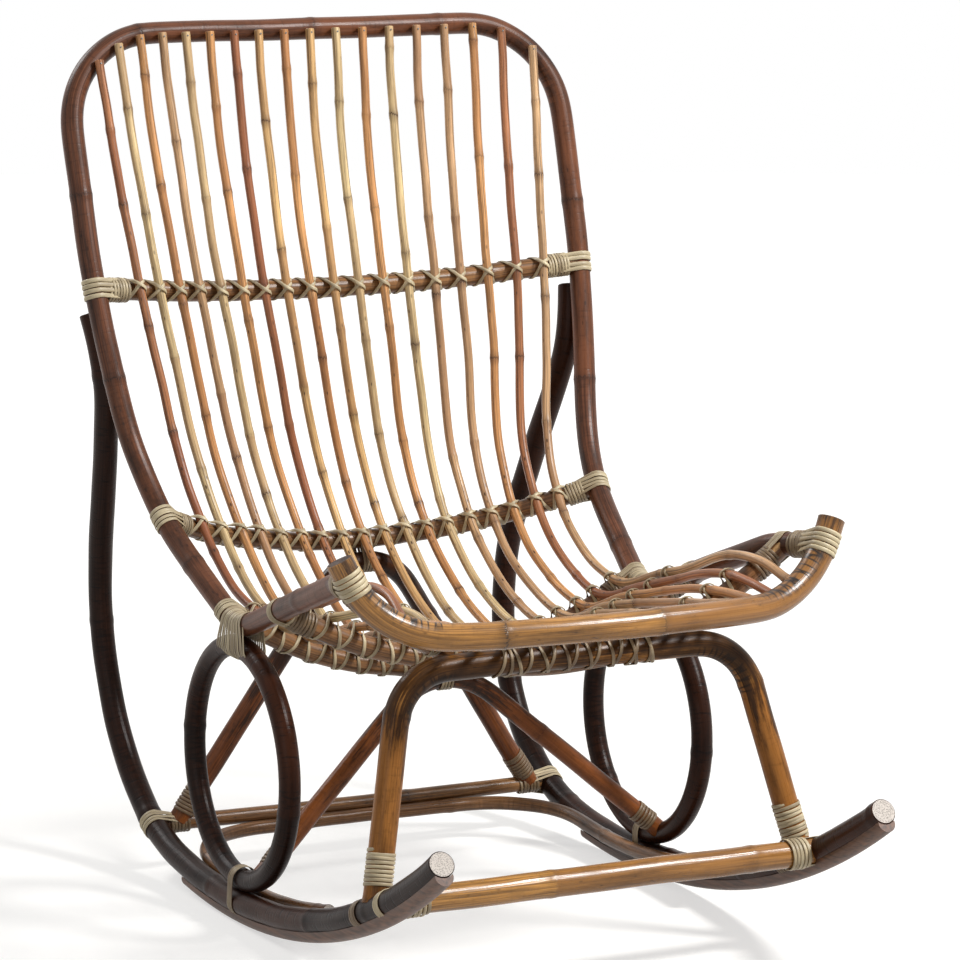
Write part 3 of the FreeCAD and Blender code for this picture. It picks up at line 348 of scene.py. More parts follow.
class CaneColours(bpy.types.PropertyGroup):
    """Colours of the finishes that a user would change."""

    slat: colour_setting("Slat cane", "#d5a869", "Honey colour of the thin canes")
    brown: colour_setting("Brown pole", "#5f3a28", "Stained poles of the back frame and bars")
    smoked: colour_setting("Smoked pole", "#21120c", "Smoked poles of rockers and rings")
    golden: colour_setting("Golden pole", "#b07e40", "Front rail, front arch and stretcher")
    peel: colour_setting("Peel", "#cfbf9c", "Split cane of the lashings")
    floor: colour_setting("Floor", "#b4b2ae", "Studio floor")


def sizes():
    """The add-on's sizes in this scene."""
    return bpy.context.scene.rocking_chair_sizes


def colours():
    """The add-on's colours in this scene."""
    return bpy.context.scene.rocking_chair_colours


def shade(colour, factor):
    """A colour made lighter or darker, with its fourth channel."""
    return [min(1.0, max(0.0, c * factor)) for c in colour[:3]] + [1.0]


def tint(colour, target, share):
    """A colour moved part of the way to another one, with its fourth channel."""
    return [c + (t - c) * share for c, t in zip(colour[:3], target[:3])] + [1.0]


def add(tree, kind, inputs=None, **settings):
    """Adds a node with its settings, and links or sets its inputs."""
    node = tree.nodes.new(kind)
    for name, value in settings.items():
        setattr(node, name, value)
    for key, value in (inputs or {}).items():
        if isinstance(value, bpy.types.NodeSocket):
            tree.links.new(value, node.inputs[key])
        else:
            node.inputs[key].default_value = value
    return node


def calc(tree, operation, *values):
    """The result of a Math node."""
    return add(tree, "ShaderNodeMath", dict(enumerate(values)), operation=operation).outputs[0]


def mix(tree, share, first, second):
    """A colour between two others, by a share."""
    return add(tree, "ShaderNodeMix", {0: share, 6: first, 7: second}, data_type="RGBA").outputs[2]


def span(tree, value, low, high, top=1.0, bottom=0.0):
    """A value moved from one range to another and held inside it."""
    return add(tree, "ShaderNodeMapRange", {0: value, 1: low, 2: high, 3: bottom, 4: top}).outputs[0]


def stretch(tree, space, scale):
    """A space with its own scale per metre on each axis."""
    return add(tree, "ShaderNodeMapping", {"Vector": space, "Scale": scale}).outputs[0]


def noise(tree, space, scale, detail, roughness=0.5):
    """Noise with its own scale per metre on each axis."""
    inputs = {"Vector": stretch(tree, space, scale), "Scale": 1.0, "Detail": detail,
              "Roughness": roughness}
    return add(tree, "ShaderNodeTexNoise", inputs).outputs["Fac"]


def store(tree, geometry, name, value, kind="FLOAT"):
    """Geometry with a value kept on its points under a name."""
    inputs = {"Geometry": geometry, "Name": name, "Value": value}
    return add(tree, "GeometryNodeStoreNamedAttribute", inputs, data_type=kind, domain="POINT").outputs[0]


def stored(tree, name, kind="FLOAT"):
    """A value that was kept on the points under a name."""
    return add(tree, "GeometryNodeInputNamedAttribute", {"Name": name}, data_type=kind).outputs[0]


def bell(tree, value, reach):
    """1 where a value is 0, and less on both sides of it over a reach."""
    share = calc(tree, "DIVIDE", value, reach)
    square = calc(tree, "MULTIPLY", share, share)
    return calc(tree, "EXPONENT", calc(tree, "MULTIPLY", square, -1.0))


def chance(tree, cell, seed, low=0.0, high=1.0):
    """A random number between two limits, the same for all points of a cell."""
    return add(tree, "FunctionNodeRandomValue", {2: low, 3: high, 7: cell, 8: seed}).outputs[1]


def store_space(tree, skin, around):
    """A skin with each point's place on the straight, unbent cane, from its place round the cane."""
    lift = add(tree, "ShaderNodeCombineXYZ", {"Z": stored(tree, "cane_length")}).outputs[0]
    straight = add(tree, "ShaderNodeVectorMath", {0: around, 1: lift}, operation="ADD").outputs[0]
    return store(tree, skin, "cane_space", straight, "FLOAT_VECTOR")


# Geometry trees

# Growth rings: limits of one's place in its stretch of the cane, limits of its strength, and how far in
# metres its ridge and its stain reach

RING_PLACES = (0.22, 0.78)
RING_FORCES = (0.15, 1.0)
RIDGE_REACH = 0.005
STAIN_REACH = 0.0204

# A cane's radius is multiplied by a least share plus a spread, by noise with so many waves per metre

THICKNESS_FROM = 0.95
THICKNESS_SPREAD = 0.10
THICKNESS_WAVES = 7.0

# A sawn end stands out by so many metres, and is a share of the cane's width there

SAWN_STEP = 0.0008
SAWN_RIM = 0.93


def new_tree(name, inputs):
    """An empty geometry tree with named inputs, and its group input and output nodes."""
    tree = bpy.data.node_groups.new(name, "GeometryNodeTree")
    tree.interface.new_socket("Geometry", in_out="INPUT", socket_type="NodeSocketGeometry")
    for title, kind in inputs:
        tree.interface.new_socket(title, in_out="INPUT", socket_type="NodeSocket" + kind)
    tree.interface.new_socket("Geometry", in_out="OUTPUT", socket_type="NodeSocketGeometry")
    return tree, add(tree, "NodeGroupInput").outputs, add(tree, "NodeGroupOutput").inputs


def cane_tree():
    """A cane that follows a line: growth rings, uneven thickness, sawn ends and marks for its bark."""
    tree, given, result = new_tree("Rattan cane", (
        ("Radius", "Float"), ("Sides", "Int"), ("Growth spacing", "Float"), ("Swelling", "Float"),
        ("Seed", "Int"), ("Bark", "Material"), ("End grain", "Material")))
    line = add(tree, "GeometryNodeMeshToCurve", {"Mesh": given["Geometry"]}).outputs["Curve"]
    place = add(tree, "GeometryNodeInputPosition").outputs[0]
    drift = add(tree, "ShaderNodeVectorMath", {0: place, 1: given["Seed"]}, operation="ADD").outputs[0]
    swell = add(tree, "ShaderNodeTexNoise",
                {"Vector": drift, "Scale": THICKNESS_WAVES, "Detail": 1.0}).outputs["Fac"]

    length = add(tree, "GeometryNodeSplineParameter").outputs["Length"]
    alike = add(tree, "FunctionNodeInputInt", integer=0).outputs[0]
    start = chance(tree, alike, given["Seed"])
    rings = calc(tree, "DIVIDE", length, given["Growth spacing"])
    count = calc(tree, "ADD", rings, start)
    cell = calc(tree, "FLOOR", count)
    spot = chance(tree, cell, given["Seed"], *RING_PLACES)
    share = calc(tree, "SUBTRACT", count, cell)
    beyond = calc(tree, "SUBTRACT", share, spot)
    away = calc(tree, "MULTIPLY", beyond, given["Growth spacing"])
    past = calc(tree, "GREATER_THAN", away, 0.0)
    joint = calc(tree, "ADD", cell, past)
    other = calc(tree, "ADD", given["Seed"], 31.0)
    tone = chance(tree, joint, other)

    force = chance(tree, cell, given["Seed"], *RING_FORCES)
    weight = calc(tree, "MULTIPLY", bell(tree, away, STAIN_REACH), force)
    ridge = calc(tree, "MULTIPLY", bell(tree, away, RIDGE_REACH), given["Swelling"])
    uneven = calc(tree, "MULTIPLY_ADD", swell, THICKNESS_SPREAD, THICKNESS_FROM)
    thick = calc(tree, "MULTIPLY_ADD", given["Radius"], uneven, ridge)

    for name, value in (("cane_length", length), ("growth_offset", away), ("growth_weight", weight),
                        ("cane_tone", tone)):
        line = store(tree, line, name, value)
    circle = add(tree, "GeometryNodeCurvePrimitiveCircle",
                 {"Resolution": given["Sides"], "Radius": 1.0}).outputs["Curve"]
    circle = store(tree, circle, "ring_place", place, "FLOAT_VECTOR")
    skin = add(tree, "GeometryNodeCurveToMesh",
               {"Curve": line, "Profile Curve": circle, "Scale": thick, "Fill Caps": True}).outputs[0]

    around = stored(tree, "ring_place", "FLOAT_VECTOR")
    around = add(tree, "ShaderNodeVectorMath", {0: around, 3: given["Radius"]},
                 operation="SCALE").outputs[0]
    skin = store_space(tree, skin, around)
    inner = stored(tree, "bend_way", "FLOAT_VECTOR")
    normal = add(tree, "GeometryNodeInputNormal").outputs[0]
    bend = add(tree, "ShaderNodeVectorMath", {0: inner, 1: normal}, operation="DOT_PRODUCT")
    skin = store(tree, skin, "cane_bend", bend.outputs["Value"])

    corners = add(tree, "GeometryNodeInputMeshFaceNeighbors").outputs["Vertex Count"]
    sawn = add(tree, "FunctionNodeCompare", {2: corners, 3: 4}, data_type="INT", operation="GREATER_THAN")
    ends = add(tree, "GeometryNodeExtrudeMesh",
               {"Mesh": skin, "Selection": sawn.outputs[0], "Offset Scale": SAWN_STEP},
               mode="FACES").outputs
    eased = add(tree, "GeometryNodeScaleElements",
                {"Geometry": ends["Mesh"], "Selection": ends["Top"], "Scale": SAWN_RIM}).outputs[0]
    soft = add(tree, "GeometryNodeSetShadeSmooth", {"Geometry": eased, "Shade Smooth": True}).outputs[0]
    soft = add(tree, "GeometryNodeSetShadeSmooth",
               {"Geometry": soft, "Selection": ends["Top"], "Shade Smooth": False}).outputs[0]
    whole = add(tree, "GeometryNodeRealizeInstances", {"Geometry": soft}).outputs[0]
    whole = add(tree, "GeometryNodeSetMaterial",
                {"Geometry": whole, "Material": given["Bark"]}).outputs[0]
    whole = add(tree, "GeometryNodeSetMaterial",
                {"Geometry": whole, "Selection": ends["Top"], "Material": given["End grain"]}).outputs[0]
    tree.links.new(whole, result["Geometry"])
    return tree


def peel_tree():
    """A flat strand of split cane along a line, with its flat face towards the pole."""
    tree, given, result = new_tree("Cane peel", (
        ("Width", "Float"), ("Thickness", "Float"), ("Peel", "Material")))
    line = add(tree, "GeometryNodeMeshToCurve", {"Mesh": given["Geometry"]}).outputs["Curve"]
    facing = stored(tree, "face_way", "FLOAT_VECTOR")
    line = add(tree, "GeometryNodeSetCurveNormal", {"Curve": line, "Normal": facing},
               mode="FREE").outputs[0]
    length = add(tree, "GeometryNodeSplineParameter").outputs["Length"]
    line = store(tree, line, "cane_length", length)
    profile = add(tree, "GeometryNodeCurvePrimitiveCircle",
                  {"Resolution": 10, "Radius": 0.5}).outputs["Curve"]
    flat = add(tree, "ShaderNodeCombineXYZ",
               {"X": given["Thickness"], "Y": given["Width"], "Z": 1.0}).outputs[0]
    profile = add(tree, "GeometryNodeTransform", {"Geometry": profile, "Scale": flat}).outputs[0]
    place = add(tree, "GeometryNodeInputPosition").outputs[0]
    profile = store(tree, profile, "ring_place", place, "FLOAT_VECTOR")
    wide = stored(tree, "strand_scale")
    skin = add(tree, "GeometryNodeCurveToMesh",
               {"Curve": line, "Profile Curve": profile, "Scale": wide, "Fill Caps": True}).outputs[0]
    skin = store_space(tree, skin, stored(tree, "ring_place", "FLOAT_VECTOR"))
    skin = add(tree, "GeometryNodeSetShadeSmooth", {"Geometry": skin, "Shade Smooth": True}).outputs[0]
    whole = add(tree, "GeometryNodeRealizeInstances", {"Geometry": skin}).outputs[0]
    whole = add(tree, "GeometryNodeSetMaterial",
                {"Geometry": whole, "Material": given["Peel"]}).outputs[0]
    tree.links.new(whole, result["Geometry"])
    return tree


def shared_tree(name, maker):
    """A geometry tree by name, made the first time that it is asked for."""
    return bpy.data.node_groups.get(name) or maker()


def line_mesh(name, lines, **attributes):
    """A mesh of open or closed lines, with attributes on its points."""
    mesh = bpy.data.meshes.new(name)
    edges = []
    first = 0
    for points, closed in lines:
        count = len(points)
        edges += [(first + i, first + i + 1) for i in range(count - 1)]
        edges += [(first + count - 1, first)] if closed else []
        first += count
    mesh.from_pydata(np.vstack([points for points, _ in lines]), edges, [])
    for title, values in attributes.items():
        kind = "FLOAT" if values.ndim == 1 else "FLOAT_VECTOR"
        attribute = mesh.attributes.new(title, kind, "POINT")
        field = "value" if values.ndim == 1 else "vector"
        attribute.data.foreach_set(field, values.astype(np.float32).ravel())
    return mesh


def grow(name, mesh, tree, values, replaced):
    """Runs a geometry tree on a mesh of lines and keeps the result as a plain piece of the chair."""
    piece = bpy.data.objects.new(name, mesh)
    bpy.context.scene.collection.objects.link(piece)
    modifier = piece.modifiers.new("Shape", "NODES")
    modifier.node_group = tree
    for item in tree.interface.items_tree:
        if item.in_out == "INPUT" and item.name in values:
            modifier[item.identifier] = values[item.name]
    graph = bpy.context.evaluated_depsgraph_get()
    made = bpy.data.meshes.new_from_object(piece.evaluated_get(graph), preserve_all_data_layers=True,
                                           depsgraph=graph)
    piece.modifiers.clear()
    piece.data = made
    made.name = name
    bpy.data.meshes.remove(mesh)
    if len(made.polygons) == 0:
        raise RuntimeError("%s came out empty" % name)
    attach(piece, BODY)
    if replaced:
        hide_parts(*replaced)
    return piece


def bend_of(pole):
    """Vectors to the inner side of each bend, as long as the cane is thick over the bend's radius."""
    points = pole.points[:-1] if pole.closed else pole.points
    index = np.arange(len(points))
    low = index - BEND_REACH
    high = index + BEND_REACH
    if pole.closed:
        high = high % len(points)
    else:
        low = np.maximum(low, 0)
        high = np.minimum(high, len(points) - 1)
    inner = (points[low] + points[high] - 2 * points) / (BEND_REACH * CANE_STEP) ** 2
    if not pole.closed:
        inner[:BEND_REACH] = 0
        inner[-BEND_REACH:] = 0
    return inner * pole.radius


def make_cane(node, bark, growth, sides, seed, end=None):
    """One cane in the place of its CAD node."""
    pole = POLES[node]
    points = pole.points[:-1] if pole.closed else pole.points
    mesh = line_mesh(node, [(points, pole.closed)], bend_way=bend_of(pole))
    values = {"Radius": pole.radius, "Sides": sides, "Growth spacing": growth,
              "Swelling": sizes().swelling, "Seed": seed,
              "Bark": bark, "End grain": end or end_grain_finish()}
    return grow(node + "_cane", mesh, shared_tree("Rattan cane", cane_tree), values, [node])


def make_pole(node, bark, seed, end=None):
    """One thick cane in the place of its CAD node."""
    size = sizes()
    return make_cane(node, bark, size.pole_growth, size.pole_sides, seed, end)


def paint(node, material):
    """Gives a CAD node that stays in sight its finish."""
    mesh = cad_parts[node].data
    mesh.materials.clear()
    mesh.materials.append(material)


# Finishes. Their patterns read cane_space, which is the straight, unbent cane in metres: x and y
# across it and z along it, so that grain and rings follow every bend. A pattern's scale is the number of
# its marks per metre on each axis. Fibres under 0.5 mm are drawn wider, so that they show.

FIBRE_SCALE = (640.0, 640.0, 10.0)
CLOUD_SCALE = (50.0, 50.0, 9.0)
WRINKLE_SCALE = (60.0, 60.0, 330.0)
CREASE_SCALE = (22.0, 22.0, 105.0)
SPECK_SCALE = (150.0, 150.0, 60.0)
PEEL_FIBRE_SCALE = (1000.0, 300.0, 32.0)
PEEL_SOIL_SCALE = (90.0, 90.0, 26.0)
PORE_SCALE = 820.0

# Depths of relief in metres

BARK_RELIEF = 0.0008
PORE_RELIEF = 0.0006
PEEL_RELIEF = 0.0004
PLAIN_RELIEF = 0.0005


def new_finish(name):
    """A new material with its node tree and its shader."""
    material = bpy.data.materials.new(name)
    material.use_nodes = True
    return material, material.node_tree, material.node_tree.nodes["Principled BSDF"]


def coat(tree, shader, colour, height, strength, depth):
    """Gives a shader its colour, and relief of a strength and a depth in metres."""
    relief = {"Height": height, "Strength": strength, "Distance": depth}
    tree.links.new(colour, shader.inputs["Base Color"])
    tree.links.new(add(tree, "ShaderNodeBump", relief).outputs[0], shader.inputs["Normal"])


def rattan_finish(name, base, warm, dark, clouds=0.6, wrinkles=0.1, creases=0.3, specks=0.5, scars=0.7,
                  gloss=0.34, sheen=0.4, fibres=0.32, smoke_and_shade=0.0, smoke_and_shade_from=0.40):
    """Peeled and stained rattan under a thin lacquer: long fibres, uneven stain, growth rings."""
    found = bpy.data.materials.get(name)
    if found:
        return found
    material, tree, shader = new_finish(name)
    marks = {}
    for title in ("cane_tone", "growth_offset", "growth_weight", "cane_bend"):
        marks[title] = add(tree, "ShaderNodeAttribute", attribute_name=title).outputs["Fac"]
    space = add(tree, "ShaderNodeAttribute", attribute_name="cane_space").outputs["Vector"]

    # Fibres, 1.6 mm wide and 100 mm long
    fibre = noise(tree, space, FIBRE_SCALE, 3.0)
    streak = span(tree, fibre, 0.38, 0.62)
    colour = mix(tree, streak, shade(base, 1.3 + fibres / 4), shade(base, 1.0 - fibres))

    # Each length between two growth rings took the stain differently
    toned = calc(tree, "MULTIPLY", marks["cane_tone"], 0.8)
    colour = mix(tree, toned, colour, shade(warm, 1.0))

    # Cloudy stain, 20 mm across and 110 mm along the cane
    cloud = noise(tree, space, CLOUD_SCALE, 6.0, 0.66)
    stain = span(tree, cloud, 0.44, 0.70, clouds)
    colour = mix(tree, stain, colour, shade(dark, 1.0))

    # Smoke of the fire that bent the pole: darker in its upper part, with torn edges and streaks. On the
    # arches, whose tops lie under the seat and back, this darkening is also painted shadow
    place = add(tree, "ShaderNodeTexCoord").outputs["Object"]
    high = add(tree, "ShaderNodeSeparateXYZ", {"Vector": place}).outputs["Z"]
    torn = calc(tree, "MULTIPLY_ADD", cloud, 0.55, high)
    frayed = calc(tree, "MULTIPLY_ADD", fibre, 0.16, torn)
    smoked = span(tree, frayed, smoke_and_shade_from, smoke_and_shade_from + 0.06, smoke_and_shade)
    colour = mix(tree, smoked, colour, shade(dark, 1.2))

    # Fine wrinkles across the cane, 3 mm apart and broken round it
    ring = noise(tree, space, WRINKLE_SCALE, 2.0)
    ringed = span(tree, ring, 0.56, 0.70, wrinkles)
    colour = mix(tree, ringed, colour, shade(dark, 0.6))

    # Creases across the inner side of a bend, about 10 mm apart
    spaced = stretch(tree, space, CREASE_SCALE)
    crease = add(tree, "ShaderNodeTexVoronoi", {"Vector": spaced, "Scale": 1.0, "Randomness": 0.85},
                 feature="DISTANCE_TO_EDGE").outputs["Distance"]
    thin = span(tree, crease, 0.17, 0.02)
    bent = span(tree, marks["cane_bend"], 0.02, 0.08, creases)
    folded = calc(tree, "MULTIPLY", thin, bent)
    colour = mix(tree, folded, colour, shade(dark, 0.5))

    # Leaf scar: a dark line 3 mm wide at each growth ring, torn by the fibres, and darker bark round it
    ragged = calc(tree, "MULTIPLY_ADD", fibre, 0.014, -0.007)
    moved = calc(tree, "ADD", marks["growth_offset"], ragged)
    near = calc(tree, "ABSOLUTE", moved)
    line = span(tree, near, 0.0022, 0.0004, scars)
    halo = span(tree, near, 0.013, 0.001, scars * 0.5)
    most = calc(tree, "MAXIMUM", line, halo)
    scar = calc(tree, "MULTIPLY", most, marks["growth_weight"])
    colour = mix(tree, scar, colour, shade(dark, 0.8))

    # Burnt specks, 1 to 3 mm wide and longer along the cane
    dotted = stretch(tree, space, SPECK_SCALE)
    dot = add(tree, "ShaderNodeTexVoronoi", {"Vector": dotted, "Scale": 1.0}).outputs["Distance"]
    speck = span(tree, dot, 0.20, 0.10, specks)
    rare = span(tree, cloud, 0.44, 0.56)
    burnt = calc(tree, "MULTIPLY", speck, rare)
    colour = mix(tree, burnt, colour, shade(dark, 0.6))

    rough = span(tree, cloud, 0.3, 0.7, gloss + 0.18, gloss)
    height = calc(tree, "MULTIPLY_ADD", fibre, 0.5, 0.0)
    for mark, depth in ((ringed, -0.5), (folded, -0.12), (scar, -0.4)):
        height = calc(tree, "MULTIPLY_ADD", mark, depth, height)
    coat(tree, shader, colour, height, 0.55, BARK_RELIEF)
    tree.links.new(rough, shader.inputs["Roughness"])
    shader.inputs["Specular IOR Level"].default_value = sheen
    return material


def smoked_finish():
    """Smoked rattan pole, nearly black, wrinkled across and red-brown in places."""
    base = colours().smoked
    return rattan_finish("Smoked rattan pole", base, linear("#40200f"), linear("#080404"),
                         clouds=0.75, wrinkles=0.6, creases=0.6, specks=0.2, scars=0.45, gloss=0.26,
                         sheen=0.1)


def brown_finish():
    """Stained rattan pole, reddish brown with dark clouds and a satin lacquer."""
    base = colours().brown
    return rattan_finish("Brown stained rattan pole", base, linear("#74452b"), linear("#180d08"),
                         clouds=0.9, wrinkles=0.24, creases=0.5, specks=0.6, scars=0.85, gloss=0.26,
                         sheen=0.2, fibres=0.42)


def bar_finish():
    """Lighter stained bar, tan with brown clouds."""
    base = tint(colours().brown, linear("#a67b4a"), 0.5)
    return rattan_finish("Tan stained rattan bar", base, linear("#6b4329"), linear("#22130b"),
                         clouds=0.85, wrinkles=0.14, creases=0.3, specks=0.6, scars=0.9, gloss=0.22,
                         sheen=0.28, fibres=0.45)


def golden_finish():
    """Lacquered rattan pole, golden with dark creases in its bends."""
    base = colours().golden
    return rattan_finish("Golden lacquered rattan pole", base, linear("#8c5d2d"), linear("#2a180b"),
                         clouds=0.7, wrinkles=0.08, creases=1.0, specks=0.6, scars=1.0, gloss=0.18,
                         fibres=0.45, smoke_and_shade=0.8, smoke_and_shade_from=0.82)


def flamed_finish():
    """Rattan pole bent over a fire: golden brown legs and a dark, streaked top, which is smoke and painted
    shadow of the seat.
    """
    base = tint(colours().golden, linear("#70441f"), 0.55)
    return rattan_finish("Flamed rattan pole", base, linear("#96602c"), linear("#200f05"),
                         clouds=0.95, wrinkles=0.14, creases=0.8, specks=0.6, scars=0.9, gloss=0.24,
                         sheen=0.14, fibres=0.55, smoke_and_shade=0.76, smoke_and_shade_from=0.60)


def russet_finish():
    """Russet rattan pole, burnt in places, with a dark top that is smoke and painted shadow of the chair
    above it.
    """
    base = tint(colours().brown, linear("#6e3b1a"), 0.6)
    return rattan_finish("Russet rattan pole", base, linear("#8c4f22"), linear("#180d07"),
                         clouds=0.95, wrinkles=0.16, creases=0.6, specks=0.5, scars=0.8, gloss=0.26,
                         sheen=0.18, fibres=0.5, smoke_and_shade=0.82, smoke_and_shade_from=0.54)


# Casts of the slats from the left, as they vary in the photograph

CASTS = {"honey": "#e0b47c", "straw": "#e3c898", "orange": "#cb915d", "tan": "#c7a37d",
         "russet": "#935139"}
SLAT_CASTS = ("russet", "straw", "orange", "tan", "straw", "orange", "russet", "honey", "orange",
              "honey", "straw", "orange", "straw", "tan", "tan", "orange", "russet", "tan")


def slat_finish(cast):
    """Thin polished cane with growth rings and burnt specks, in one of the casts."""
    colour = linear(CASTS[cast])
    return rattan_finish("Polished thin cane, " + cast, tint(colours().slat, colour, 0.75),
                         tint(colour, linear("#8d5229"), 0.55), linear("#43230f"), clouds=0.62,
                         wrinkles=0.0, creases=0.0, specks=0.95, scars=1.0, gloss=0.28, fibres=0.6)


def end_grain_finish():
    """Sawn rattan: grey pith full of open pores, drawn 1.2 mm wide so that they show."""
    found = bpy.data.materials.get("Sawn rattan end")
    if found:
        return found
    material, tree, shader = new_finish("Sawn rattan end")
    place = add(tree, "ShaderNodeTexCoord").outputs["Object"]
    pore = add(tree, "ShaderNodeTexVoronoi", {"Vector": place, "Scale": PORE_SCALE}).outputs["Distance"]
    open_pore = span(tree, pore, 0.15, 0.5)
    grey = mix(tree, open_pore, shade(linear("#6f655e"), 1), shade(linear("#cfc6bd"), 1))
    coat(tree, shader, grey, open_pore, 0.6, PORE_RELIEF)
    shader.inputs["Roughness"].default_value = 0.85
    return material


def peel_finish():
    """Split rattan bark: pale straw with a satin face, lengthwise fibres and soiled places; its browner
    strands round the front arch are painted shade.
    """
    name = "Split cane peel"
    base = colours().peel
    found = bpy.data.materials.get(name)
    if found:
        return found
    material, tree, shader = new_finish(name)
    space = add(tree, "ShaderNodeAttribute", attribute_name="cane_space").outputs["Vector"]
    tone = add(tree, "ShaderNodeAttribute", attribute_name="strand_tone").outputs["Fac"]
    # Fibres, 1 to 3 mm wide and 30 mm long
    fibre = noise(tree, space, PEEL_FIBRE_SCALE, 2.0)
    streak = span(tree, fibre, 0.35, 0.7)
    colour = mix(tree, streak, shade(base, 1.1), shade(base, 0.55))
    # Soiled stretches, 40 mm long, browner on strands of a higher tone. The ties round the front arch have
    # a high tone, which is painted shade under the seat
    cloud = noise(tree, space, PEEL_SOIL_SCALE, 3.0)
    mixed = calc(tree, "ADD", cloud, tone)
    soil_and_shade = span(tree, mixed, 0.50, 1.20, 0.92)
    colour = mix(tree, soil_and_shade, colour, shade(linear("#5d4429"), 1))
    coat(tree, shader, colour, fibre, 0.45, PEEL_RELIEF)
    shader.inputs["Roughness"].default_value = 0.46
    shader.inputs["IOR"].default_value = 1.5
    return material


def plain_finish(name, light, dark, scale, roughness, metallic=0.0):
    """Small hardware and split skids, with a grain of a scale per metre."""
    found = bpy.data.materials.get(name)
    if found:
        return found
    material, tree, shader = new_finish(name)
    place = add(tree, "ShaderNodeTexCoord").outputs["Object"]
    grain = noise(tree, place, scale, 4.0)
    spread = span(tree, grain, 0.3, 0.7)
    colour = mix(tree, spread, shade(linear(light), 1), shade(linear(dark), 1))
    coat(tree, shader, colour, grain, 0.3, PLAIN_RELIEF)
    shader.inputs["Roughness"].default_value = roughness
    shader.inputs["Metallic"].default_value = metallic
    return material


def looked_at(tree):
    """1 for rays from the camera, a shiny face or glass, and 0 for rays that only carry light."""
    path = add(tree, "ShaderNodeLightPath").outputs
    seen = calc(tree, "MAXIMUM", path["Is Camera Ray"], path["Is Glossy Ray"])
    return calc(tree, "MAXIMUM", seen, path["Is Transmission Ray"])


# The floor glows less near the chair than far away: near and far in metres, strengths far and near

FLOOR_FADE = (0.8, 4.0)
FLOOR_GLOW = (0.92, 0.58)


def floor_finish():
    """Matt studio floor: mid grey under the light, and lifted to white where it is looked at."""
    material, tree, shader = new_finish("Matt studio floor")
    shader.inputs["Base Color"].default_value = shade(colours().floor, 1.0)
    shader.inputs["Roughness"].default_value = 0.9
    place = add(tree, "ShaderNodeTexCoord").outputs["Object"]
    away = add(tree, "ShaderNodeVectorMath", {0: place}, operation="LENGTH").outputs["Value"]
    lift = span(tree, away, *FLOOR_FADE, *FLOOR_GLOW)
    glow = add(tree, "ShaderNodeEmission", {"Color": (1.0, 1.0, 1.0, 1.0), "Strength": lift})
    both = add(tree, "ShaderNodeAddShader", {0: shader.outputs[0], 1: glow.outputs[0]}).outputs[0]
    mixed = add(tree, "ShaderNodeMixShader",
                {0: looked_at(tree), 1: shader.outputs[0], 2: both}).outputs[0]
    tree.links.new(mixed, tree.nodes["Material Output"].inputs["Surface"])
    return material


# Lashings. A strand is a line of points, the directions that its flat face looks in, and a tone
# and width for each point.

TURN_POINTS = 22
ARC_POINTS = 24
LEG_POINTS = 6
TURN_SPACING = 1.15
TONE_SPREAD = 0.16
TIE_TURN = math.radians(24)
ARCH_LEVEL_FROM = 0.33
SLAT_TOUCH = 0.003

# How unevenly a strand is wound: in shares of a turn along the pole and of its thickness off the pole,
# and over what share of a turn and how many thicknesses deep its ends dive under

SLACK = 0.10
LOOSENESS = 0.16
TUCK_SHARE = 0.25
TUCK_DEPTH = 1.5

# Metres between the points of a tie, and of bar and slat that it may touch; rounds of pulling it taut

TIE_STEP = 0.0025
TIE_REACH = 0.05
TAUT_ROUNDS = 10

# Ties of the slats: how far in metres a strand spreads and leans along the bar, and its tone

BACK_TIE = (0.0125, 0.0125, 0.12)
SEAT_TIE = (0.0095, 0.0165, 0.3)
# The ties on the front arch get a high tone, so they come out browner: painted shade under the seat
ARCH_TIE = (0.0085, 0.0165, 0.6)

# Bound joints: turns on the pole and on the bar, widths of their strands as shares of the peel's, tones

JOINT_TURNS = {
    "upper_bar_bindings": (4, 7, 1.25, 0.8, 0.05, 0.25),
    "lower_bar_bindings": (5, 6, 1.0, 0.8, 0.25, 0.4),
    "seat_bar_bindings": (4, 7, 0.7, 0.85, 0.35, 0.85),
    "front_rail_bindings": (5, 7, 1.15, 0.9, 0.1, 0.55),
    "rear_stretcher_bindings": (4, 6, 1.0, 0.9, 0.3, 0.7),
    "front_leg_bindings": (3, 5, 1.0, 1.0, 0.3, 0.3),
}

# Coils on the legs: metres from the foot, turns, share of the peel's width and tone

REAR_FOOT = (0.012, 8, 0.9, 0.95)
MID_FOOT = (0.014, 6, 0.9, 0.9)
FRONT_FOOT = (0.016, 9, 0.95, 0.2)

# The coil on a rocker: metres from the leg along it, then turns, share of the peel's width and tone

LEG_GAP = 0.020
ROCKER_COIL = (5, 0.75, 0.7)

# Strands round two poles that lie side by side: turns, share of the peel's width and tone

SEAT_BELT = (15, 0.8, 0.3)
RING_BELT = (4, 0.75, 0.5)
CROWN_BELT = (4, 0.8, 0.5)
# The belts round the front arch get a high tone too, so they come out browner: painted shade under the
# seat
ARCH_BELT = (1.6, 1.0, 0.6)


def strand(points, facing, tone, scale):
    """One strand, with its facing directions made square to it."""
    way = unit(np.gradient(points, axis=0))
    facing = unit(square_to(facing, way))
    count = len(points)
    spots = np.linspace(0, 1, max(2, count // TURN_POINTS))
    tones = tone + draws.uniform(-TONE_SPREAD, TONE_SPREAD, len(spots))
    return points, facing, np.interp(np.linspace(0, 1, count), spots, tones), np.full(count, scale)


def tuck(share, turns):
    """How far the ends of a strand dive under, 1 at the very end and 0 a quarter turn inside."""
    return np.clip(1 - np.minimum(share, turns - share) / TUCK_SHARE, 0, 1)


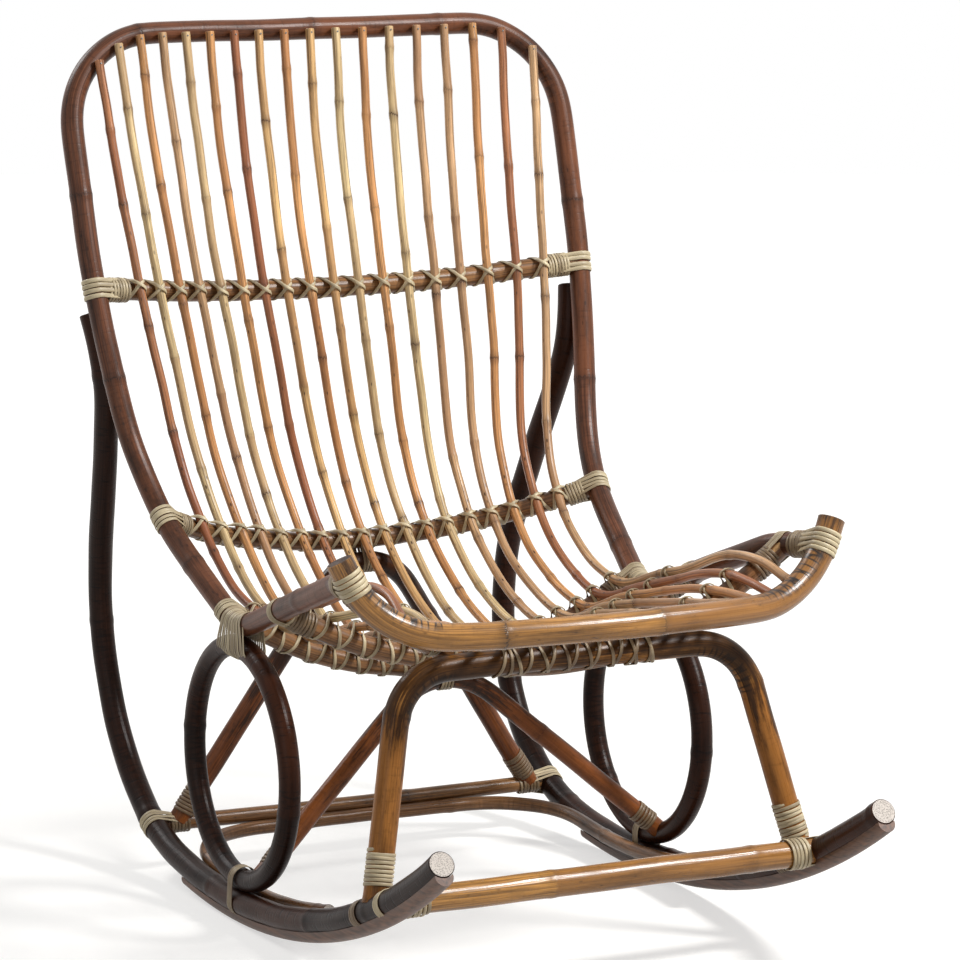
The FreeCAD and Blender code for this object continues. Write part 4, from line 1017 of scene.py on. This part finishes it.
def coil(pole, start, turns, scale, tone, lift=0.0):
    """A strand wound round one pole, from a length along it, lifted off it where it covers others."""
    size = sizes()
    share = np.linspace(0, turns, int(turns * TURN_POINTS) + 1)
    whole = np.arange(math.ceil(turns) + 1)
    slack = np.interp(share, whole, draws.normal(0, SLACK, len(whole)))
    loose = np.interp(share, whole, np.abs(draws.normal(0, LOOSENESS, len(whole))))
    at = start + (share + slack) * size.peel_width * scale * TURN_SPACING
    along = pole.way(at)
    side = unit(np.cross(along, REFERENCE))
    third = np.cross(along, side)
    angle = (2 * math.pi * (share + draws.uniform()))[:, None]
    outward = side * np.cos(angle) + third * np.sin(angle)
    thick = size.peel_thickness
    reach = pole.radius + lift + thick * (0.45 + loose - TUCK_DEPTH * tuck(share, turns))
    return strand(pole.at(at) + outward * reach[:, None], outward, tone, scale)


def belt(first, second, middle, turns, scale, tone):
    """A strand wound round two poles that lie side by side, centred on a place on the first."""
    size = sizes()
    thick = size.peel_thickness
    pitch = size.peel_width * scale * TURN_SPACING
    share = np.linspace(0, turns, int(turns * 2 * TURN_POINTS) + 1)
    whole = np.arange(math.ceil(turns) + 1)
    slack = np.interp(share, whole, draws.normal(0, SLACK, len(whole)))
    at = middle + (share + slack - turns / 2) * pitch
    low = first.at(at)
    high = np.array([second.at(second.near(point)) for point in low])
    along = first.way(at)
    across = square_to(high - low, along)
    apart = np.linalg.norm(across, axis=1)
    across = unit(across)
    side = np.cross(along, across)
    reach = max(first.radius, second.radius) + thick * (0.5 - TUCK_DEPTH * tuck(share, turns))
    # One turn: over to the second pole, half round it, back to the first and half round that
    half = math.pi * reach
    run = (share % 1.0) * 2 * (apart + half)
    back = run - apart - half
    far = np.clip(np.where(back < 0, run, apart - back), 0, apart)
    rounded = np.where(back < 0, np.clip(run - apart, 0, half), half + np.clip(back - apart, 0, half))
    angle = (rounded / reach)[:, None]
    outward = side * np.cos(angle) + across * np.sin(angle)
    points = low + across * far[:, None] + outward * reach[:, None]
    return strand(points, outward, tone, scale)


def saddle(pole, bar, turns, legs, scale, tone):
    """Strands side by side over a pole where a bar meets it, with their ends laid along the bar."""
    size = sizes()
    thick = size.peel_thickness
    joint = pole.near(bar.at(0.0))
    up = pole.way(joint)
    inward = unit(square_to(bar.at(legs) - pole.at(joint), up))
    front = np.cross(up, inward)
    strands = []
    for index in range(turns):
        high = (index - (turns - 1) / 2) * size.peel_width * scale * TURN_SPACING
        high += draws.normal(0, 0.0003)
        middle = pole.at(joint + high)
        reach = pole.radius + thick * (0.5 + abs(draws.normal(0, 0.15)))
        angle = np.linspace(0, math.pi, ARC_POINTS)[:, None]
        outward = front * np.cos(angle) - inward * np.sin(angle)
        arc = middle + outward * reach
        down = np.linspace(1, 0, LEG_POINTS)[:, None]
        level = np.clip(high / bar.radius, -0.85, 0.85)
        flank = math.sqrt(1 - level ** 2) * bar.radius + thick * 0.3
        first_end = bar.at(legs) + front * flank + up * level * bar.radius
        last_end = bar.at(legs) - front * flank + up * level * bar.radius
        first = arc[0] + (first_end - arc[0]) * down
        last = arc[-1] + (last_end - arc[-1]) * down[::-1]
        points = np.vstack([first[:-1], arc, last[1:]])
        flat = np.repeat(front[None], LEG_POINTS - 1, axis=0)
        facing = np.vstack([flat, outward, -flat])
        strands.append(strand(points, facing, tone, scale))
    return strands


def leaves(pole, bar):
    """Length along a bar at which it comes out of the pole that it meets."""
    lengths = np.arange(0.0, 0.08, 0.0005)
    apart = np.linalg.norm(pole.away(bar.at(lengths)), axis=1)
    return lengths[np.argmax(apart > pole.radius)]


def joint_binding(pole, bar, pole_turns, bar_turns, scale, bar_scale, tone, bar_tone):
    """A saddle over the pole, and turns on the end of the bar over the saddle's ends."""
    size = sizes()
    first = leaves(pole, bar) + size.peel_width * bar_scale * 0.5
    legs = first + size.peel_width * bar_scale * bar_turns * 0.6
    strands = saddle(pole, bar, pole_turns, legs, scale, tone)
    strands.append(coil(bar, first, bar_turns, bar_scale, bar_tone, lift=0.9 * size.peel_thickness))
    return strands


def hug(points, poles, lift):
    """Pulls a rough line taut and lifts it off the poles that it crosses."""
    for _ in range(TAUT_ROUNDS):
        points[1:-1] += 0.5 * ((points[:-2] + points[2:]) / 2 - points[1:-1])
        for pole in poles:
            away = pole.away(points)
            apart = np.linalg.norm(away, axis=1)
            short = np.maximum(0.0, pole.radius + lift - apart)
            points += away * (short / np.maximum(apart, 1e-9))[:, None]
    return points


def outward_of(points, poles):
    """Directions away from the nearest poles."""
    total = np.zeros_like(points)
    for pole in poles:
        away = pole.away(points)
        apart = np.linalg.norm(away, axis=1)
        weight = np.exp(-(apart - pole.radius) / 0.002)
        total += away * (weight / np.maximum(apart, 1e-9))[:, None]
    total = unit(total)
    for _ in range(3):
        total[1:-1] = unit(total[:-2] + total[1:-1] + total[2:])
    return total


def crossing(bar, slat):
    """Lengths along a bar and a slat where they touch."""
    gaps = np.linalg.norm(bar.points[:, None] - slat.points[None], axis=2)
    i, j = np.unravel_index(np.argmin(gaps), gaps.shape)
    return bar.lengths[i], slat.lengths[j]


def tie(bar, slat, hand, spread, lean):
    """One strand that crosses a slat slantwise and goes round the bar on both sides of it."""
    size = sizes()
    thick = size.peel_thickness
    bar_at, slat_at = crossing(bar, slat)
    way = bar.way(bar_at)
    top = slat.at(slat_at)
    out = unit(top - bar.at(bar_at))
    down = np.cross(way, out)
    # Metres along the bar from the slat, and degrees round the bar from the slat's side
    steps = ((lean, 180), ((spread + lean) / 2, 140), (spread, 95), (0.72 * spread, 52))
    rough = []
    for side in (-1, 1):
        for along, turn in steps[::-side]:
            angle = -side * hand * math.radians(turn)
            spot = bar.at(bar_at + side * along)
            rough.append(spot + (out * math.cos(angle) + down * math.sin(angle)) * (bar.radius + thick))
    lifted = out * math.cos(TIE_TURN) - way * math.sin(TIE_TURN)
    rough.insert(len(steps), top + lifted * (slat.radius + thick))
    points = smooth_line(np.array(rough), TIE_STEP)
    poles = (bar.part(bar_at, TIE_REACH), slat.part(slat_at, TIE_REACH))
    place = np.linspace(-1, 1, len(points))
    over = np.exp(-(place / 0.22) ** 2) if hand < 0 else np.zeros(len(points))
    points = hug(points, poles, thick * (0.5 + over))
    return points, outward_of(points, poles)


def lace(bar, slats, spread, lean, tone):
    """Two strands that tie slats to a bar, one slanting each way."""
    strands = []
    for hand in (1, -1):
        parts = [tie(bar, slat, hand, spread, lean) for slat in slats]
        points = np.vstack([part[0] for part in parts])
        facing = np.vstack([part[1] for part in parts])
        strands.append(strand(points, facing, tone, 1.0))
    return strands


def slats_on(bar):
    """Slats that touch a bar, from left to right."""
    found = []
    for name in SLATS:
        slat = POLES[name]
        bar_at, slat_at = crossing(bar, slat)
        gap = np.linalg.norm(bar.at(bar_at) - slat.at(slat_at)) - bar.radius - slat.radius
        if gap < SLAT_TOUCH:
            found.append((bar_at, slat))
    return [slat for _, slat in sorted(found, key=lambda pair: pair[0])]


def lacing_plan():
    """The lacing of every bar, and of the front arch where it carries slats."""
    plan = []
    for node in BARS:
        bar = POLES[node]
        back = "back" in node
        strands = lace(bar, slats_on(bar), *(BACK_TIE if back else SEAT_TIE))
        if node == "front_seat_bar":
            arch = POLES["front_arch"]
            strands += lace(arch, slats_on(arch), *ARCH_TIE)
            for slat in slats_on(bar):
                at = arch.near(bar.at(crossing(bar, slat)[0]))
                if min(at, arch.length - at) > ARCH_LEVEL_FROM:
                    strands.append(belt(arch, bar, at, *ARCH_BELT))
        plan.append((node + "_lacing", strands))
    return plan


def both_ends(name):
    """A pole from its left end and from its right end."""
    return POLES[name], POLES[name].flipped()


def binding_plan():
    """The bindings of every joint of the poles."""
    frame_pole = POLES["back_frame"]
    plan = {name: [] for name in ("upper_bar_bindings", "lower_bar_bindings", "seat_bar_bindings",
                                  "seat_corner_bindings", "front_rail_bindings",
                                  "rear_stretcher_bindings", "front_leg_bindings",
                                  "arch_foot_bindings", "ring_foot_bindings", "crown_bindings")}

    def bind(name, pole, bar):
        """Adds the binding of a joint to the plan."""
        plan[name] += joint_binding(pole, bar, *JOINT_TURNS[name])

    for bar in both_ends("upper_back_bar"):
        bind("upper_bar_bindings", frame_pole, bar)
    for bar in both_ends("lower_back_bar"):
        bind("lower_bar_bindings", frame_pole, bar)
    for name in ("rear_seat_bar", "mid_seat_bar", "front_seat_bar"):
        for bar in both_ends(name):
            bind("seat_bar_bindings", frame_pole, bar)
    for rail_end, front_end in zip(both_ends("back_frame"), both_ends("front_rail")):
        bind("front_rail_bindings", front_end, rail_end)
    for side, stretcher, front_bar, rear_leg, front_leg, mid_leg in zip(
            ("left", "right"), both_ends("rear_stretcher"), both_ends("front_stretcher"),
            both_ends("rear_arch"), both_ends("front_arch"), both_ends("mid_arch")):
        rocker = POLES["rocker_" + side]
        ring = POLES["side_ring_" + side]
        seat_at = frame_pole.near(ring.at(ring.length / 2))
        leg_at = rocker.near(front_leg.at(0.0))
        foot_at = rocker.near(ring.at(0.0))
        plan["seat_corner_bindings"].append(belt(frame_pole, ring, seat_at, *SEAT_BELT))
        bind("rear_stretcher_bindings", rocker, stretcher)
        plan["arch_foot_bindings"].append(coil(rear_leg, *REAR_FOOT))
        plan["arch_foot_bindings"].append(coil(mid_leg, *MID_FOOT))
        plan["front_leg_bindings"].append(coil(front_leg, *FRONT_FOOT))
        plan["front_leg_bindings"].append(coil(rocker, leg_at + LEG_GAP, *ROCKER_COIL))
        bind("front_leg_bindings", rocker, front_bar)
        plan["ring_foot_bindings"].append(belt(rocker, ring, foot_at, *RING_BELT))
    for bar_name, arch_name in (("rear_seat_bar", "mid_arch"), ("lower_back_bar", "rear_arch")):
        bar = POLES[bar_name]
        plan["crown_bindings"].append(belt(bar, POLES[arch_name], bar.length / 2, *CROWN_BELT))
    return list(plan.items())


def make_peel(node, strands):
    """One lashing in the place of its CAD node, where it has one."""
    size = sizes()
    mesh = line_mesh(node, [(points, False) for points, _, _, _ in strands],
                     face_way=np.vstack([facing for _, facing, _, _ in strands]),
                     strand_tone=np.concatenate([tone for _, _, tone, _ in strands]),
                     strand_scale=np.concatenate([scale for _, _, _, scale in strands]))
    values = {"Width": size.peel_width, "Thickness": size.peel_thickness, "Peel": peel_finish()}
    replaced = [node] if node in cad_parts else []
    tree = shared_tree("Cane peel", peel_tree)
    return grow(node + "_peel", mesh, tree, values, replaced)


# Operators


class CHAIR_OT_frame(bpy.types.Operator):
    """Back frame and front rail"""

    bl_idname = "chair.frame"
    bl_label = "Frame"

    def execute(self, context):
        make_pole("back_frame", brown_finish(), seed=11)
        make_pole("front_rail", golden_finish(), seed=14, end=smoked_finish())
        return {"FINISHED"}


class CHAIR_OT_rockers(bpy.types.Operator):
    """Rockers with their split skids, and the side rings"""

    bl_idname = "chair.rockers"
    bl_label = "Rockers and rings"

    def execute(self, context):
        split = plain_finish("Split rattan skid", "#6b4731", "#352014",
                             scale=(260.0, 14.0, 260.0), roughness=0.5)
        for number, side in enumerate(("left", "right")):
            make_pole("rocker_" + side, smoked_finish(), seed=21 + number)
            make_pole("side_ring_" + side, smoked_finish(), seed=25 + number)
            paint("skid_" + side, split)
        return {"FINISHED"}


class CHAIR_OT_arches(bpy.types.Operator):
    """Arches, stretchers and the bent floor brace"""

    bl_idname = "chair.arches"
    bl_label = "Arches and stretchers"

    def execute(self, context):
        make_pole("front_arch", flamed_finish(), seed=31)
        make_pole("mid_arch", russet_finish(), seed=32)
        make_pole("rear_arch", russet_finish(), seed=33)
        make_pole("front_stretcher", golden_finish(), seed=34)
        make_pole("rear_stretcher", bar_finish(), seed=35)
        make_pole("floor_brace", bar_finish(), seed=36)
        return {"FINISHED"}


class CHAIR_OT_bars(bpy.types.Operator):
    """Two bars of the back and three bars of the seat"""

    bl_idname = "chair.bars"
    bl_label = "Cross bars"

    def execute(self, context):
        for seed, node in enumerate(BARS, start=41):
            make_pole(node, bar_finish(), seed)
        return {"FINISHED"}


class CHAIR_OT_slats(bpy.types.Operator):
    """Thin canes of the seat and back"""

    bl_idname = "chair.slats"
    bl_label = "Slats"

    def execute(self, context):
        size = sizes()
        for seed, (node, cast) in enumerate(zip(SLATS, SLAT_CASTS, strict=True), start=51):
            make_cane(node, slat_finish(cast), size.slat_growth, size.slat_sides, seed)
        return {"FINISHED"}


class CHAIR_OT_lacings(bpy.types.Operator):
    """Crossed ties of the slats on every bar"""

    bl_idname = "chair.lacings"
    bl_label = "Lacings"

    def execute(self, context):
        for node, strands in lacing_plan():
            make_peel(node, strands)
        return {"FINISHED"}


class CHAIR_OT_bindings(bpy.types.Operator):
    """Bound joints of the poles"""

    bl_idname = "chair.bindings"
    bl_label = "Bindings"

    def execute(self, context):
        for node, strands in binding_plan():
            make_peel(node, strands)
        return {"FINISHED"}


class CHAIR_OT_fasteners(bpy.types.Operator):
    """Dowels, nails and screws"""

    bl_idname = "chair.fasteners"
    bl_label = "Fasteners"

    def execute(self, context):
        wood = plain_finish("Turned hardwood dowel", "#c49a66", "#8f6a40",
                            scale=(300.0, 300.0, 30.0), roughness=0.6)
        nail = plain_finish("Drawn steel nail", "#6d6a66", "#3c3936",
                            scale=(900.0, 900.0, 900.0), roughness=0.45, metallic=1.0)
        screw = plain_finish("Zinc plated screw", "#8f8d89", "#5f5d5a",
                             scale=(900.0, 900.0, 900.0), roughness=0.38, metallic=1.0)
        paint("joint_dowels", wood)
        paint("slat_nails", nail)
        paint("skid_nails", nail)
        paint("frame_screws", screw)
        return {"FINISHED"}


# The camera stands as it did for the photograph: 26.5 degrees to the chair's right of straight
# ahead and 9 degrees up, with a long lens. Axes are right, up and back; the place is in metres.

CAMERA_AXES = ((0.895, -0.446, 0.0), (0.071, 0.1425, 0.987), (-0.4405, -0.8835, 0.1594))
CAMERA_PLACE = (-2.2857, -4.6862, 1.3293)
CAMERA_LENS = 172.5
SENSOR_WIDTH = 36.0
CLIP_END = 60.0
FLOOR_RADIUS = 9.0
FLOOR_SIDES = 96
WORLD_LIGHT = 0.28

# Lamps: name, place in metres, width in metres and power in watts

LAMPS = (
    ("Key", (1.9, -2.2, 3.4), 0.8, 205.0),
    ("Fill", (-3.0, -2.4, 1.6), 2.4, 12.0),
    ("Rim", (-1.4, 2.6, 2.8), 1.4, 55.0),
)
LAMP_TARGET = (0.0, 0.0, 0.5)


class CHAIR_OT_stage(bpy.types.Operator):
    """Pale floor, soft lamps and the camera"""

    bl_idname = "chair.stage"
    bl_label = "Stage"

    def execute(self, context):
        scene = context.scene
        scene.view_settings.view_transform = "Standard"
        bpy.ops.mesh.primitive_circle_add(vertices=FLOOR_SIDES, radius=FLOOR_RADIUS, fill_type="NGON")
        floor = context.object
        floor.name = "studio_floor"
        floor.data.materials.append(floor_finish())
        for name, place, width, power in LAMPS:
            lamp = bpy.data.lights.new(name, "AREA")
            lamp.shape = "DISK"
            lamp.size = width
            lamp.energy = power
            holder = bpy.data.objects.new(name, lamp)
            scene.collection.objects.link(holder)
            towards = unit(np.array(LAMP_TARGET) - np.array(place))
            side = unit(np.cross(towards, (0.0, 0.0, 1.0)))
            axes = np.array((side, np.cross(side, towards), -towards)).T
            holder.matrix_world = Matrix.Translation(place) @ Matrix(axes.tolist()).to_4x4()
        world = bpy.data.worlds.new("Studio")
        scene.world = world
        world.use_nodes = True
        tree = world.node_tree
        soft = tree.nodes["Background"]
        soft.inputs["Color"].default_value = (1.0, 1.0, 1.0, 1.0)
        soft.inputs["Strength"].default_value = WORLD_LIGHT
        seen = add(tree, "ShaderNodeBackground", {"Color": (1.0, 1.0, 1.0, 1.0), "Strength": 1.0})
        mixed = add(tree, "ShaderNodeMixShader",
                    {0: looked_at(tree), 1: soft.outputs[0], 2: seen.outputs[0]})
        tree.links.new(mixed.outputs[0], tree.nodes["World Output"].inputs["Surface"])
        camera = bpy.data.cameras.new("Camera")
        camera.lens = CAMERA_LENS
        camera.sensor_width = SENSOR_WIDTH
        camera.clip_end = CLIP_END
        view = bpy.data.objects.new("Camera", camera)
        scene.collection.objects.link(view)
        axes = unit(np.array(CAMERA_AXES)).T
        view.matrix_world = Matrix.Translation(CAMERA_PLACE) @ Matrix(axes.tolist()).to_4x4()
        scene.camera = view
        return {"FINISHED"}


class CHAIR_PT_panel(bpy.types.Panel):
    """Sizes, colours and pieces of the chair"""

    bl_idname = "CHAIR_PT_panel"
    bl_label = "Rocking chair"
    bl_space_type = "VIEW_3D"
    bl_region_type = "UI"
    bl_category = "Rocking chair"

    def draw(self, context):
        layout = self.layout
        for group in (sizes(), colours()):
            box = layout.box()
            for name in group.__annotations__:
                box.prop(group, name)
        for operator in OPERATORS:
            layout.operator(operator.bl_idname)


OPERATORS = (CHAIR_OT_frame, CHAIR_OT_rockers, CHAIR_OT_arches, CHAIR_OT_bars, CHAIR_OT_slats,
             CHAIR_OT_lacings, CHAIR_OT_bindings, CHAIR_OT_fasteners, CHAIR_OT_stage)
CLASSES = (CaneSizes, CaneColours) + OPERATORS + (CHAIR_PT_panel,)


def register():
    """Registers the classes and the chair's settings."""
    for item in CLASSES:
        bpy.utils.register_class(item)
    bpy.types.Scene.rocking_chair_sizes = PointerProperty(type=CaneSizes)
    bpy.types.Scene.rocking_chair_colours = PointerProperty(type=CaneColours)


def unregister():
    """Removes the chair's settings and the classes."""
    del bpy.types.Scene.rocking_chair_colours
    del bpy.types.Scene.rocking_chair_sizes
    for item in reversed(CLASSES):
        bpy.utils.unregister_class(item)


def main():
    """Dresses the frame piece by piece."""
    register()
    bpy.ops.chair.frame()
    bpy.ops.chair.rockers()
    bpy.ops.chair.arches()
    bpy.ops.chair.bars()
    bpy.ops.chair.slats()
    bpy.ops.chair.lacings()
    bpy.ops.chair.bindings()
    bpy.ops.chair.fasteners()
    bpy.ops.chair.stage()


if __name__ == "__main__":
    main()
